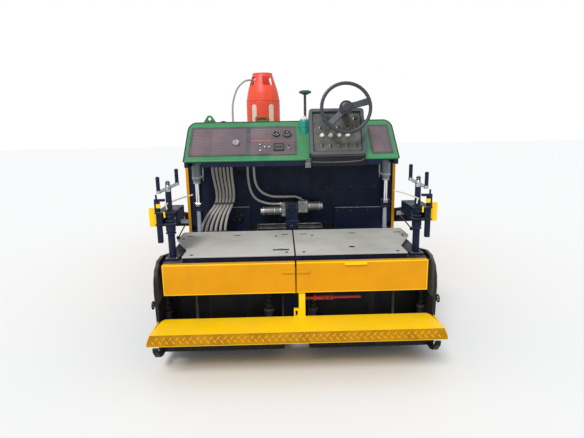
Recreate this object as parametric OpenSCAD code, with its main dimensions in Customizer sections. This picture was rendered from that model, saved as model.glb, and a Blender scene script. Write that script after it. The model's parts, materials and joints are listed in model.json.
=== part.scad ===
// Small tracked asphalt paver with a raised, retracted extending screed.
// Stations run forward from the footboard's rear lip. The origin is on the
// ground, halfway along the machine, with +Y forward and +Z up.

/* [Overall] */
// Length from the footboard's lip to the front of the push rollers
overall_len = 4560; // [4520:5:4640]
// Width over the tractor's side panels
body_w = 1720; // [1710:2:1724]
// Height of the hood's top
hood_z = 1395; // [1385:1:1400]
// Thickness of the body sheets
sheet_t = 8; // [6:1:10]

/* [Tracks] */
// Distance between the two track centre lines
track_gauge = 1350; // [1340:2:1354]
// Width of a track shoe
shoe_w = 250; // [236:2:252]
// Distance from the drive sprocket to the idler
track_base = 1460; // [1420:5:1480]
// Station of the drive sprocket
sprocket_y = 1720; // [1710:2:1740]
// Radius of the chain's inner face round the sprocket
loop_r = 205; // [198:1:207]
// Depth of the chain
chain_t = 24; // [20:1:26]
// Width of the chain
chain_w = 90; // [80:2:100]
// Thickness of the shoe plates
shoe_t = 12; // [10:1:13]
// Height of the shoe pads
pad_h = 39; // [32:1:40]
// Number of shoes on a track
shoe_count = 40; // [36:1:42]
// Radius of the bottom rollers
roller_r = 48; // [42:1:52]
// Number of bottom rollers on a side
roller_count = 5; // [4:1:6]

/* [Frame] */
// Clear width between the two frame plates
tunnel_w = 740; // [730:2:750]
// Thickness of a frame plate
plate_t = 30; // [26:1:34]
// Height of the frame plates' lower edge
frame_low_z = 240; // [230:1:246]
// Height of the frame plates beside the hopper
hopper_side_z = 590; // [580:1:594]
// Height of the tunnel's roof
roof_z = 700; // [690:1:710]
// Station of the bulkhead's rear face
bulkhead_y = 1300; // [1296:1:1306]
// Station of the hopper's back wall
hopper_back_y = 2550; // [2540:1:2560]
// Distance from the frame plates' front end to the front of the push rollers
front_gap = 480; // [460:2:500]

/* [Conveyor] */
// Radius of the conveyor chain's inner face at its ends
conv_r = 40; // [36:1:44]
// Height of the conveyor's shafts
conv_z = 362; // [358:1:366]
// Station of the conveyor's rear shaft
conv_rear_y = 1410; // [1400:2:1430]
// Number of conveyor bars
bar_count = 27; // [24:1:30]
// Height of a conveyor bar
bar_h = 15; // [12:1:18]

/* [Hopper] */
// Distance from the wings' front end to the frame plates' front end
wing_gap = 10; // [4:2:30]
// Half distance between the two wing hinges
wing_hinge_x = 424; // [422:1:428]
// Height of the wing hinges
wing_hinge_z = 606; // [604:1:610]
// Outward reach of a wing's bottom plate
wing_bottom_w = 428; // [420:2:432]
// Rise of a wing's bottom plate
wing_bottom_h = 196; // [190:1:204]
// Outward reach of a wing's side wall
wing_side_w = 200; // [190:2:204]
// Rise of a wing's side wall
wing_side_h = 370; // [350:2:380]
// Thickness of the wing plates
wing_t = 8; // [6:1:10]

/* [Push rollers] */
// Radius of a push roller
push_r = 80; // [76:1:84]
// Length of a push roller
push_len = 500; // [480:5:510]
// Height of the push rollers
push_z = 450; // [440:2:460]

/* [Augers] */
// Station of the auger shaft
auger_y = 1150; // [1146:1:1156]
// Height of the auger shaft
auger_z = 330; // [325:1:340]
// Radius of the auger flights
flight_r = 126; // [118:1:127]
// Radius of the auger tube
auger_tube_r = 34; // [30:1:38]
// Thickness of a flight
flight_t = 12; // [10:1:14]
// Length along the shaft of one turn of the flight
flight_pitch = 220; // [200:5:240]
// Half width over the two augers
auger_reach = 850; // [830:5:855]

/* [Console] */
// Width of the console
console_w = 1587; // [1575:1:1600]
// Station of the console's rear edge
console_y = 893; // [888:1:898]
// Height of the console's lower edge
console_z = 1262; // [1258:1:1266]
// Height of the rear edge's upright strip
console_lip = 10; // [8:1:14]
// Station of the top of the sloping face
face_top_y = 1197; // [1192:1:1202]
// Height of the console's top
console_top_z = 1546; // [1542:1:1550]
// Station of the console's back
console_back_y = 1330; // [1326:1:1336]
// Radius of the console's upper corners
console_corner_r = 60; // [50:1:70]
// Depth of the dark underframe below the console
under_h = 39; // [34:1:44]

// Distance of the lifting eye from the centre line
eye_x = -651; // [-660:1:-640]
// Height of the lifting eye
eye_z = 1577; // [1574:1:1579]

/* [Engine doors] */
// Height of a door opening's lower edge
door_low_z = 970; // [950:2:990]
// Height of a door opening's upper edge
door_high_z = 1350; // [1330:2:1360]
// Station of a door opening's rear edge
door_rear_y = 1620; // [1600:5:1660]
// Station of a door opening's front edge, where the hinges are
door_front_y = 2420; // [2380:5:2430]

/* [Control box] */
// Distance of the box's left edge from the centre line
box_x = 134; // [130:1:138]
// Width of the box
box_w = 408; // [400:1:414]
// Height of the box's face
box_h = 362; // [354:1:366]
// Depth of the box behind its face
box_depth = 75; // [66:1:80]
// Station of the face's lower edge
box_y = 850; // [846:1:854]
// Height of the face's lower edge
box_z = 1305; // [1302:1:1308]
// Lean of the face above the level
box_angle = 65.5; // [64:0.5:67]

/* [Screed] */
// Half width of the main screed
screed_half = 850; // [840:1:854]
// Station of the main screed's rear wall
screed_y = 600; // [598:1:606]
// Station of the main screed's front wall
screed_front_y = 1000; // [990:1:1004]
// Height of the screed's sole
sole_z = 95; // [93:1:98]
// Height of the deck's upper face
deck_z = 710; // [706:1:714]
// Station of the deck's rear edge
deck_rear_y = 337; // [334:1:340]
// Station of the deck's front edge
deck_front_y = 1010; // [1004:1:1012]
// Station of the tow pins
tow_y = 2450; // [2440:2:2460]
// Height of the tow pins
tow_z = 500; // [494:1:506]
// Radius of a tow pin
tow_pin_r = 28; // [24:1:30]
// Depth of a tow arm
arm_h = 120; // [110:2:130]
// Thickness of a tow arm
arm_t = 50; // [46:1:52]
// Gap between a tow arm and the body's side
arm_gap = 25; // [22:1:28]

/* [Extensions] */
// Station of the yellow rear panels
panel_y = 260; // [256:1:264]
// Height of the rear panels' lower edge
panel_low_z = 482; // [476:1:490]
// Height of the rear panels' upper edge
panel_top_z = 680; // [676:1:684]
// Distance from a rear panel's outer end to the main screed's end
panel_short = 19; // [14:1:25]
// Half gap between the two rear panels
panel_gap = 5; // [4:1:7]
// Gap between the main screed's end and an end gate
gate_gap = 12; // [11:1:14]
// Thickness of an end gate
gate_t = 20; // [16:1:24]
// Radius of the extensions' guide tubes
guide_r = 30; // [26:1:32]

/* [Footboard] */
// Reach of the footboard's rear lip past the main screed's end
foot_over = 34; // [28:1:38]
// Taper of the footboard's ends towards its front edge
foot_taper = 37; // [34:1:42]
// Depth of the footboard from rear to front
foot_d = 243; // [236:1:246]
// Height of the footboard's upper face
foot_z = 330; // [326:1:334]
// Depth of the folded lip
foot_lip = 62; // [56:1:68]
// Thickness of the footboard's sheet
foot_t = 6; // [5:1:8]

/* [Screed lift] */
// Distance from a lift cylinder's axis to the console's end
lift_in = 63.5; // [59.5:1:69.5]
// Station of the lift cylinders
lift_y = 1036; // [1034:1:1040]
// Height of the lift cylinders' upper pins
lift_top_z = 1340; // [1336:1:1344]
// Height of the rod eyes at rest
lift_eye_z = 925; // [920:1:930]
// Radius of a lift cylinder's barrel
barrel_r = 33; // [30:1:36]
// Radius of a lift cylinder's rod
rod_r = 15; // [12:1:17]

/* [Crank posts] */
// Distance from a post's axis to the main screed's end
post_in = 50; // [47:1:53]
// Station of the posts
post_y = 430; // [426:1:434]
// Radius of the posts' lower tubes
post_r = 23; // [21:1:25]
// Radius of the crank's tube
crank_r = 19; // [17:1:20]
// Height of the crank's cross bar
crank_z = 1140; // [1130:2:1150]
// Length of the crank's cross bar
crank_w = 130; // [120:2:140]

/* [Bottle] */
// Radius of the gas bottle
bottle_r = 149; // [145:1:152]
// Height of the gas bottle
bottle_h = 575; // [565:1:580]
// Distance of the bottle's axis from the centre line
bottle_x = -230; // [-240:1:-220]
// Station of the bottle's axis
bottle_y = 1750; // [1730:5:1770]

/* [Steering] */
// Radius of the steering wheel to its rim's centre
wheel_r = 174; // [168:1:178]
// Radius of the steering wheel's rim
rim_r = 13; // [11:1:15]
// Distance of the steering wheel from the centre line
wheel_x = 392; // [386:1:398]
// Lean of the steering wheel from upright
wheel_lean = 12; // [10:1:14]

/* [Hidden] */

// Colours
yellow = [0.90, 0.62, 0.02];
bright_yellow = [1.0, 0.80, 0.02];
navy = [0.10, 0.12, 0.16];
green = [0.12, 0.48, 0.28];
steel = [0.55, 0.56, 0.57];
chrome = [0.82, 0.83, 0.85];
deck_grey = [0.62, 0.61, 0.58];
black = [0.07, 0.07, 0.08];

// Clearances
seat = 0.3;       // between pieces that touch
run = 6;          // between pieces that pass each other
pin_play = 0.05;  // radial play of a pin in its bore

// Tracks
track_x = track_gauge / 2;
chain_r = loop_r + chain_t;
shoe_r = chain_r + shoe_t;
track_r = shoe_r + pad_h;
track_z = track_r;
idler_y = sprocket_y + track_base;
track_top_z = 2 * track_r;
shoe_pitch = (2 * track_base + 2 * PI * shoe_r) / shoe_count;

// Frame
frame_front_y = overall_len - front_gap;
side_in = tunnel_w / 2;
side_out = side_in + plate_t;
body_x = body_w / 2;
sill_z = track_top_z + 40;
sill_h = 50;
frame_rear_y = bulkhead_y + 8;
roof_t = 12;
conv_front_y = frame_front_y - conv_r - 50;
conv_chain_t = 12;
floor_t = 16;
body_rear_y = bulkhead_y - 50;

// Engine doors' hinges
hinge_x = body_x + 12;
hinge_y = door_front_y;
hinge_z = [1040, 1250];

// Console
face_rise = console_top_z - console_z - console_lip;
face_run = face_top_y - console_y;
face_len = norm([face_rise, face_run]);
face_angle = atan2(face_rise, face_run);
under_z = console_z - under_h;

// Screed
lift_x = console_w / 2 - lift_in;
hose_x = lift_x - 100;
post_x = screed_half - post_in;
arm_x = max(body_x, post_x + 60) + arm_gap;
gate_x = screed_half + gate_gap;
panel_reach = screed_half - panel_short;
deck_notch_x = post_x - 78;
shelf_z = deck_z - 50;
deck_t = 10;
panel_t = 6;
arm_mid_z = 946;
arm_rear_y = 452;

// Hopper wings
wing_front_y = frame_front_y - wing_gap;
wing_tip_x = wing_hinge_x + wing_bottom_w;
wing_tip_z = wing_hinge_z + wing_bottom_h;
wing_top_x = wing_tip_x + wing_side_w;
wing_top_z = wing_tip_z + wing_side_h;
wing_pin_r = 13;
knuckle_y = [hopper_back_y + 160, frame_front_y - 160];   // stations of the hinge knuckles
foot_x = wing_hinge_x + 10;
wing_slope = wing_bottom_h / wing_bottom_w;
wing_cyl_y = frame_front_y - 330;
function wing_under(x) = wing_tip_z - (wing_tip_x - x) * wing_slope;

// Push rollers
push_y = overall_len - push_r;

// Moves from stations to the machine's frame
module place() translate([0, -overall_len / 2, 0]) children();

// Mirrors to the left for side -1
module sided(side) {
    if (side < 0) mirror([1, 0, 0]) children();
    else children();
}

// Box between two corners
module block(low, high) translate(low) cube(high - low);

// Outline of [y, z] points carried along X
module yz(points, x0, x1)
    translate([x0, 0, 0]) rotate([90, 0, 90]) linear_extrude(x1 - x0) polygon(points);

// Outline of [x, z] points carried along Y
module xz(points, y0, y1)
    translate([0, y1, 0]) rotate([90, 0, 0]) linear_extrude(y1 - y0) polygon(points);

module rod_x(r, x0, x1, y, z) translate([x0, y, z]) rotate([0, 90, 0]) cylinder(r = r, h = x1 - x0, $fn = 48);
module rod_y(r, y0, y1, x, z) translate([x, y0, z]) rotate([-90, 0, 0]) cylinder(r = r, h = y1 - y0, $fn = 48);
module rod_z(r, z0, z1, x, y) translate([x, y, z0]) cylinder(r = r, h = z1 - z0, $fn = 48);

// Straight bar of radius r between two points
module strut(a, b, r) {
    d = b - a;
    translate(a)
        rotate([0, acos(d[2] / norm(d)), atan2(d[1], d[0])])
            cylinder(r = r, h = norm(d), $fn = 32);
}

// Rounded rectangle standing on its corner point
module round_rect(w, h, r) {
    translate([r, 0]) square([w - 2 * r, h]);
    translate([0, r]) square([w, h - 2 * r]);
    for (x = [r, w - r], y = [r, h - r]) translate([x, y]) circle(r, $fn = 32);
}

// Hose along its route, as one closed tube
function unit(v) = v / norm(v);
// Heading at a point; an end's ring stands square to the route's last stretch
function along(p, i) =
    let (last = len(p) - 1)
    unit(i == 0 ? p[2] - p[0] : i == last ? p[last] - p[last - 2] : p[i + 1] - p[i - 1]);
function ring(p, i, r, sides) =
    let (t = along(p, i), n = unit(cross(t, [0, 1, 0])), b = cross(t, n))
    [for (k = [0 : sides - 1]) p[i] + r * (cos(360 * k / sides) * n + sin(360 * k / sides) * b)];
// Two points for each one of the route, on a curve through them all
function smooth(p) = let (n = len(p) - 1) [for (i = [0 : n - 1], h = [0, 1]) h == 0 ? p[i] :
    (9 * (p[i] + p[i + 1]) - p[max(i - 1, 0)] - p[min(i + 2, n)]) / 16, p[n]];
module hose(route, d, sides = 8) {
    line = smooth(route);
    last = len(line) - 1;
    points = [for (i = [0 : last]) each ring(line, i, d / 2, sides)];
    walls = [for (i = [0 : last - 1], k = [0 : sides - 1])
        let (a = i * sides + k, b = i * sides + (k + 1) % sides)
        each [[a, b + sides, b], [a, a + sides, b + sides]]];
    ends = [[for (k = [0 : sides - 1]) k], [for (k = [sides - 1 : -1 : 0]) last * sides + k]];
    polyhedron(points, concat(walls, ends));
}

// Place and heading on a track loop of radius r, at s along it from the sprocket's foot
function on_loop(s, r) =
    let (arc = PI * r)
    s < track_base ? [s, -r, 0] :
    s < track_base + arc ? let (a = (s - track_base) / r * 180 / PI)
        [track_base + r * sin(a), -r * cos(a), a] :
    s < 2 * track_base + arc ? [2 * track_base + arc - s, r, 180] :
    let (a = (s - 2 * track_base - arc) / r * 180 / PI) [-r * sin(a), r * cos(a), 180 + a];

// Four corners of one shoe pad: foot, tip, tip, foot
function pad(s) =
    let (c = on_loop(s, shoe_r), u = [cos(c[2]), sin(c[2])], n = [sin(c[2]), -cos(c[2])],
        foot = 0.39 * shoe_pitch, tip = 0.33 * shoe_pitch, p = [c[0], c[1]])
    [p - foot * u, p - tip * u + pad_h * n, p + tip * u + pad_h * n, p + foot * u];

// Stadium round the sprocket and idler
module stadium(r, x0, x1) {
    rod_x(r, x0, x1, 0, 0);
    rod_x(r, x0, x1, track_base, 0);
    block([x0, 0, -r], [x1, track_base, r]);
}

// Tracks: shoe plates with pads, on a narrower chain
module track() {
    outline = [for (i = [0 : shoe_count - 1]) each pad((i + 0.5) * shoe_pitch)];
    translate([track_x, sprocket_y, track_z]) {
        difference() {
            yz(outline, -shoe_w / 2, shoe_w / 2);
            stadium(chain_r, -shoe_w, shoe_w);
        }
        difference() {
            stadium(chain_r + 1, -chain_w / 2, chain_w / 2);
            stadium(loop_r, -shoe_w, shoe_w);
        }
    }
}
module left_track() color(black) place() sided(-1) track();
module right_track() color(black) place() sided(1) track();

// Track frame with its sprocket, idler, rollers and drive motor
module running_gear() {
    wheel = loop_r - 0.5;
    rail = 55;
    frame_low = track_z - 90;
    frame_high = track_z + 70;
    axle = track_z - loop_r + roller_r + 0.5;
    roller_step = (track_base - 2 * loop_r - 90) / (roller_count - 1);
    translate([track_x, 0, 0]) {
        difference() {
            block([-rail, sprocket_y + loop_r + 12, frame_low], [rail, idler_y - 90, frame_high]);
            block([-rail + 12, sprocket_y + loop_r, frame_low - 1], [rail - 12, idler_y, frame_high - 12]);
            rod_x(wheel + 6, -rail - 1, rail + 1, idler_y, track_z);
        }
        // idler fork and axle
        for (s = [-1, 1])
            sided(s) block([rail - 12, idler_y - loop_r - 80, track_z - 45], [rail, idler_y + 40, track_z + 45]);
        rod_x(26, -rail, rail, idler_y, track_z);
        difference() {
            rod_x(wheel, -32, 32, idler_y, track_z);
            for (s = [-1, 1]) sided(s) rod_x(wheel - 30, 10, 40, idler_y, track_z);
        }
        rod_x(60, -38, 38, idler_y, track_z);
        // sprocket, toothed, with its hub and motor
        difference() {
            rod_x(wheel, -20, 20, sprocket_y, track_z);
            for (i = [0 : 13])
                translate([0, sprocket_y, track_z]) rotate([i * 360 / 14, 0, 0])
                    rod_x(17, -21, 21, wheel, 0);
        }
        rod_x(118, -48, 48, sprocket_y, track_z);
        rod_x(86, side_out + seat - track_x, 0, sprocket_y, track_z);
        block([-rail, sprocket_y, track_z - 60], [-rail + 30, sprocket_y + loop_r + 30, track_z + 60]);
        // bottom rollers
        for (i = [0 : roller_count - 1]) {
            y = sprocket_y + loop_r + 45 + i * roller_step;
            rod_x(roller_r, -36, 36, y, axle);
            rod_x(roller_r - 12, -rail, rail, y, axle);
            block([-rail, y - 26, axle - 20], [-rail + 14, y + 26, frame_low + 10]);
            block([rail - 14, y - 26, axle - 20], [rail, y + 26, frame_low + 10]);
        }
        // top roller
        rod_x(34, -34, 34, sprocket_y + track_base / 2, track_z + loop_r - 34.5);
        block([-14, sprocket_y + track_base / 2 - 30, frame_high - 14],
            [14, sprocket_y + track_base / 2 + 30, track_z + loop_r - 45]);
    }
}
module left_running_gear() color(navy) place() sided(-1) running_gear();
module right_running_gear() color(navy) place() sided(1) running_gear();

// Frame plates, tunnel roof, sills, track guards, cross bars and tow brackets
module main_frame() {
    cross_z = frame_low_z + 40;
    cross_bars = [1700, 2400, 3150, 3850];   // stations of the bars under the conveyor
    tie_y = [2150, 2780];                    // stations of the ties to the track frames
    color(navy) place() {
        for (s = [-1, 1]) sided(s) {
            yz([[frame_rear_y, frame_low_z + 60], [frame_rear_y + 100, frame_low_z],
                [frame_front_y - 120, frame_low_z], [frame_front_y, frame_low_z + 90],
                [frame_front_y, hopper_side_z], [hopper_back_y, hopper_side_z],
                [hopper_back_y, roof_z], [frame_rear_y, roof_z]], side_in, side_out);
            // track guard, sill and its tow bracket
            block([side_out - 1, frame_rear_y, sill_z], [body_x, hopper_back_y, sill_z + 10]);
            block([body_x - 60, frame_rear_y, sill_z], [body_x, hopper_back_y, sill_z + sill_h]);
            yz([[tow_y - 110, sill_z + 5], [tow_y - 60, tow_z - 60], [tow_y + 60, tow_z - 60],
                [tow_y + 100, sill_z + 5]], track_x + shoe_w / 2 + run, body_x);
            rod_x(tow_pin_r + 16, body_x - 1, arm_x - 1, tow_y, tow_z);
            rod_x(tow_pin_r, body_x - 1, arm_x + arm_t + 2, tow_y, tow_z);
            rod_x(tow_pin_r + 14, arm_x + arm_t + 1, arm_x + arm_t + 12, tow_y, tow_z);
            for (y = tie_y) rod_x(42, side_out - 1, track_x - 55 - seat, y, track_z);
            // wing hinge brackets and the wing cylinder's foot
            for (y = knuckle_y) {
                block([side_out - 1, y - 40, hopper_side_z - 80], [wing_hinge_x + 16, y + 40, wing_hinge_z]);
                rod_y(16, y - 40, y + 40, wing_hinge_x, wing_hinge_z);
                rod_y(wing_pin_r, y - 100, y + 100, wing_hinge_x, wing_hinge_z);
            }
            for (d = [-38, 26])
                block([side_out - 1, wing_cyl_y + d, wing_foot_z - 45], [wing_foot_x + 18, wing_cyl_y + d + 12, wing_foot_z + 22]);
            rod_y(12, wing_cyl_y - 38, wing_cyl_y + 38, wing_foot_x, wing_foot_z);
        }
        block([-side_out, frame_rear_y, roof_z], [side_out, hopper_back_y, roof_z + roof_t]);
        for (y = cross_bars) block([-side_in - 1, y - 40, frame_low_z], [side_in + 1, y + 40, cross_z - 5]);
        // floor plate under the conveyor's upper run
        block([-side_in - 1, conv_rear_y + conv_r + run, conv_z + conv_r - floor_t],
            [side_in + 1, conv_front_y - conv_r - run, conv_z + conv_r - seat]);
        // front plate below and ahead of the conveyor
        block([-side_in - 1, frame_front_y - 12, frame_low_z + 80], [side_in + 1, frame_front_y, hopper_side_z - 120]);
    }
}

// Dark rear wall with its side returns, lower plates and the console's underframe
module bulkhead() {
    lower_plates = [[-560, -350, 150], [365, 780, 130]];  // left edge, right edge, height above the roof
    color(navy) place() {
        difference() {
            block([-body_x + 12, bulkhead_y, 570], [body_x - 12, bulkhead_y + 8, under_z]);
            block([-side_in, bulkhead_y - 1, 0], [side_in, bulkhead_y + 9, roof_z]);
        }
        for (s = [-1, 1]) sided(s) {
            block([body_x - 100, body_rear_y + 18, 700], [body_x - sheet_t - 2, body_rear_y + 24, under_z]);
            block([body_x - 100, body_rear_y + 18, 700], [body_x - 94, bulkhead_y + 1, under_z]);
            // side bars of the underframe
            block([console_w / 2 - 30, console_y + 4, under_z], [console_w / 2 - 4, bulkhead_y + 8, console_z]);
            // hanger of the lift cylinder
            for (x = [lift_x - 52, lift_x + 40])
                yz([[lift_y - 26, lift_top_z - 26], [lift_y - 26, lift_top_z + 10], [lift_y, lift_top_z + 26],
                    [bulkhead_y + 8, lift_top_z + 26], [bulkhead_y + 8, under_z - 20], [bulkhead_y - 40, under_z - 20]],
                    x, x + 12);
            block([lift_x - 52, bulkhead_y, under_z - 1], [lift_x + 52, bulkhead_y + 8, lift_top_z + 26]);
            rod_x(12, lift_x - 41, lift_x + 41, lift_y, lift_top_z);
        }
        block([-console_w / 2 + 4, bulkhead_y, under_z], [console_w / 2 - 4, bulkhead_y + 8, console_z]);
        // rear bar of the underframe, notched for the cylinders
        difference() {
            block([-console_w / 2 + 4, console_y + 4, under_z], [console_w / 2 - 4, console_y + 14, console_z]);
            for (s = [-1, 1]) sided(s)
                block([lift_x - 62, console_y, under_z - 1], [lift_x + 42, console_y + 20, console_z - 8]);
        }
        // shelves that carry the hoses' upper and lower ends
        block([-hose_x - 50, 1160, hose_top_z], [-260, bulkhead_y + 8, hose_top_z + 12]);
        block([-hose_x - 50, bulkhead_y, under_z - 1], [-260, bulkhead_y + 8, hose_top_z + 1]);
        block([-hose_x - 140, 1090, hose_low_z - 14], [-hose_x + 130, bulkhead_y + 1, hose_low_z]);
        for (p = lower_plates) block([p[0], bulkhead_y - 14, 590], [p[1], bulkhead_y + 1, roof_z + p[2]]);
    }
}

// Engine cover: lid with its rear strip and the raised wall above the hopper
module hood() {
    t = sheet_t;
    color(yellow) place() {
        block([-body_x, console_back_y, hood_z - t], [body_x, hopper_back_y, hood_z]);
        block([-body_x + t, console_back_y, under_z], [body_x - t, console_back_y + t, hood_z - 1]);
        block([-body_x, hopper_back_y - t, hood_z - 1], [body_x, hopper_back_y, hood_z + 30]);
    }
}

// Side wall of the engine bay with its door opening, folded rear edge and hinge pins
module side_wall(side) {
    low = sill_z + sill_h;
    t = sheet_t;
    color(yellow) place() sided(side) {
        difference() {
            yz([[body_rear_y, low], [hopper_back_y, low], [hopper_back_y, hood_z - t], [console_back_y, hood_z - t],
                [console_back_y, under_z], [body_rear_y, under_z]], body_x - t, body_x);
            block([body_x - t - 1, door_rear_y, door_low_z], [body_x + 1, door_front_y, door_high_z]);
        }
        block([body_x - 22, body_rear_y, low], [body_x, body_rear_y + t, under_z]);
        for (z = hinge_z) {
            block([body_x - 1, hinge_y + 1, z - 30], [hinge_x + 6, hinge_y + 16, z - 1]);
            rod_z(10, z - 30, z - 1, hinge_x, hinge_y);
            rod_z(6, z - 20, z + 40, hinge_x, hinge_y);
        }
    }
}
module left_side_wall() side_wall(-1);
module right_side_wall() side_wall(1);

// Wall between the engine bay and the hopper, above the tunnel's mouth
module hopper_wall() {
    t = sheet_t;
    color(yellow) place() difference() {
        block([-body_x + t, hopper_back_y - t, sill_z + sill_h], [body_x - t, hopper_back_y, hood_z - t]);
        block([-side_out - 3, hopper_back_y - t - 1, 0], [side_out + 3, hopper_back_y + 1, roof_z + roof_t + 3]);
    }
}

// Side door in the engine cover, with louvres and a handle recess
module engine_door(side) {
    play = 5;
    color(yellow) place() sided(side) {
        difference() {
            block([body_x - 22, door_rear_y + play, door_low_z + play], [body_x, door_front_y - play, door_high_z - play]);
            block([body_x - 23, door_rear_y + play + 20, door_low_z + play + 20],
                [body_x - 4, door_front_y - play - 20, door_high_z - play - 20]);
            for (i = [0 : 6])
                block([body_x - 5, door_rear_y + 430, door_low_z + 70 + i * 38],
                    [body_x + 1, door_front_y - 90, door_low_z + 86 + i * 38]);
        }
        block([body_x - 1, door_rear_y + 40, door_low_z + 170], [body_x + 10, door_rear_y + 58, door_low_z + 250]);
        for (z = hinge_z) difference() {
            union() {
                block([body_x - 1, hinge_y - 24, z], [hinge_x, hinge_y, z + 40]);
                rod_z(10, z, z + 40, hinge_x, hinge_y);
            }
            rod_z(6 + pin_play, z - 1, z + 41, hinge_x, hinge_y);
        }
    }
}
module left_engine_door() engine_door(-1);
module right_engine_door() engine_door(1);

// Engine and pump, as one plain block on its feet
module engine_block() {
    color(steel) place() {
        block([-300, 1480, roof_z + roof_t + 40], [300, 2180, 1230]);
        block([-220, 2180, roof_z + roof_t + 80], [220, 2330, 1180]);
        for (x = [-260, 180], y = [1520, 2060]) block([x, y, roof_z + roof_t], [x + 80, y + 80, roof_z + roof_t + 41]);
    }
}

// Exhaust elbow on the hood
module exhaust() {
    x = 470;
    y = 2300;
    color(steel) place() {
        rod_z(45, hood_z, hood_z + 12, x, y);
        rod_z(28, hood_z + 11, hood_z + 60, x, y);
        translate([x, y, hood_z + 60]) {
            sphere(28, $fn = 40);
            rotate([-60, 0, 0]) difference() {
                cylinder(r = 28, h = 110, $fn = 48);
                translate([0, 0, 40]) cylinder(r = 24, h = 71, $fn = 48);
            }
        }
    }
}

// Console: a sheet box open below, with a sloping face and round upper corners
module console_side(r, gap) {
    half = console_w / 2 - gap;
    translate([-half, 0]) square([2 * half, console_top_z - gap - r]);
    translate([-half + r, 0]) square([2 * (half - r), console_top_z - gap]);
    for (x = [-half + r, half - r]) translate([x, console_top_z - gap - r]) circle(r, $fn = 48);
}
function face_z(y) = console_z + console_lip + (y - console_y) * face_rise / face_run;
module console_shape(gap) {
    drop = gap * face_len / face_run;
    low = gap > 0 ? console_z - 1 : console_z;
    top_y = console_y + (console_top_z - gap + drop - console_z - console_lip) * face_run / face_rise;
    intersection() {
        yz([[console_y + gap, low], [console_y + gap, face_z(console_y + gap) - drop], [top_y, console_top_z - gap],
            [console_back_y - gap, console_top_z - gap], [console_back_y - gap, low]], -console_w, console_w);
        translate([0, console_back_y + 1, 0]) rotate([90, 0, 0]) linear_extrude(console_back_y - console_y + 2)
            console_side(console_corner_r - gap, gap);
    }
}
module console_frame() {
    eye_r = 28;
    eye_t = 16;
    color(green) place() {
        difference() {
            console_shape(0);
            console_shape(6);
            // room for the control box
            on_box() translate([-2, -2, -box_depth - 2]) cube([box_w + 4, box_h, box_depth + 30]);
        }
        // lifting eye
        difference() {
            union() {
                xz([[eye_x - 60, console_top_z - 120], [eye_x + 60, console_top_z - 120], [eye_x + 53, console_top_z],
                    [eye_x + eye_r * 0.8, eye_z + eye_r * 0.6], [eye_x - eye_r * 0.8, eye_z + eye_r * 0.6],
                    [eye_x - 53, console_top_z]], console_back_y - eye_t, console_back_y);
                rod_y(eye_r, console_back_y - eye_t, console_back_y, eye_x, eye_z);
            }
            rod_y(12, console_back_y - eye_t - 1, console_back_y + 1, eye_x, eye_z);
        }
    }
}

// Moves to the console's sloping face: x, distance up the face, outwards
module on_face() translate([0, console_y, console_z + console_lip]) rotate([face_angle, 0, 0]) children();
module instrument_panel() {
    plates = [[29.5 - console_w / 2, -326], [-322, 40], [600, console_w / 2 - 36.5]];  // left edge, right edge
    gauges = [[-416, 170, 24, 16], [-112, 262, 22, 12], [-27, 260, 28, 12]];  // x, up, radius, height
    toggles = [[-233, 151], [-197, 126], [-165, 126], [-230, 88], [-16, 114]];
    t = 3;
    color("rosybrown") place() on_face() {
        for (p = plates) block([p[0], 45, 0], [p[1], 350, t]);
        for (g = gauges) translate([g[0], g[1], t - 1]) cylinder(r = g[2], h = g[3], $fn = 40);
        for (g = toggles) translate([g[0], g[1], t - 1]) cylinder(r = 9, h = 9, $fn = 24);
        block([-133, 88, t - 1], [-54, 150, t + 5]);
    }
}

// Control box: a rounded tray standing on the console's face, with its knobs
module on_box() translate([box_x, box_y, box_z]) rotate([box_angle, 0, 0]) children();
module control_box() {
    knob_rows = [[280, 130, 2, 215, 15, 24], [215, 86, 5, 65, 9, 14],
        [150, 92, 4, 63, 13, 20], [75, 93, 5, 62, 8, 18]];  // up, first x, count, step, radius, height
    rim = 24;
    recess = 14;
    color(black) place() {
        on_box() {
            difference() {
                translate([0, 0, -box_depth]) linear_extrude(box_depth) round_rect(box_w, box_h, 26);
                translate([rim, rim, -recess]) linear_extrude(recess + 1) round_rect(box_w - 2 * rim, box_h - 2 * rim, 10);
            }
            for (r = knob_rows, i = [0 : r[2] - 1])
                translate([r[1] + i * r[3], r[0], -recess - 1]) cylinder(r = r[4], h = r[5], $fn = 24);
        }
        // cheeks down to the console's face
        difference() {
            for (x = [box_x + 20, box_x + box_w - 40])
                yz([[915, 1290], [1020, 1530], [1120, 1440], [945, 1285]], x, x + 20);
            console_shape(0);
            on_box() block([-1, 0, -box_depth + 1], [box_w + 1, box_h, 1]);
        }
        // steering column's boss
        translate([wheel_x, 850, 1633]) rotate([90 - wheel_lean, 0, 0]) difference() {
            translate([0, 0, -150]) cylinder(r = 30, h = 120, $fn = 40);
            translate([0, 0, -80]) cylinder(r = 12 + pin_play, h = 60, $fn = 40);
        }
        // dark trough below the box
        yz([[console_y - 36, under_z], [console_y - 1, under_z], [console_y - 1, box_z - 16],
            [console_y - 36, box_z]], box_x + 8, box_x + box_w - 14);
        rod_x(16, box_x - 30, box_x + 10, console_y - 20, under_z + 30);
    }
}

// Travel lever: a dome on the console's face, a rod and a round knob
module travel_lever() {
    x = 108;
    y = 1128;
    color("teal") place() difference() {
        union() {
            translate([x, y, 1535]) sphere(42, $fn = 40);
            rod_z(42, 1440, 1535, x, y);
            rod_z(9, 1560, 1758, x + 6, y);
            translate([x + 8, y, 1740]) cylinder(r1 = 12, r2 = 40, h = 16, $fn = 48);
            rod_z(47, 1755, 1765, x + 8, y);
            translate([x + 8, y, 1765]) cylinder(r1 = 47, r2 = 32, h = 8, $fn = 48);
        }
        console_shape(0);
    }
}

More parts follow.
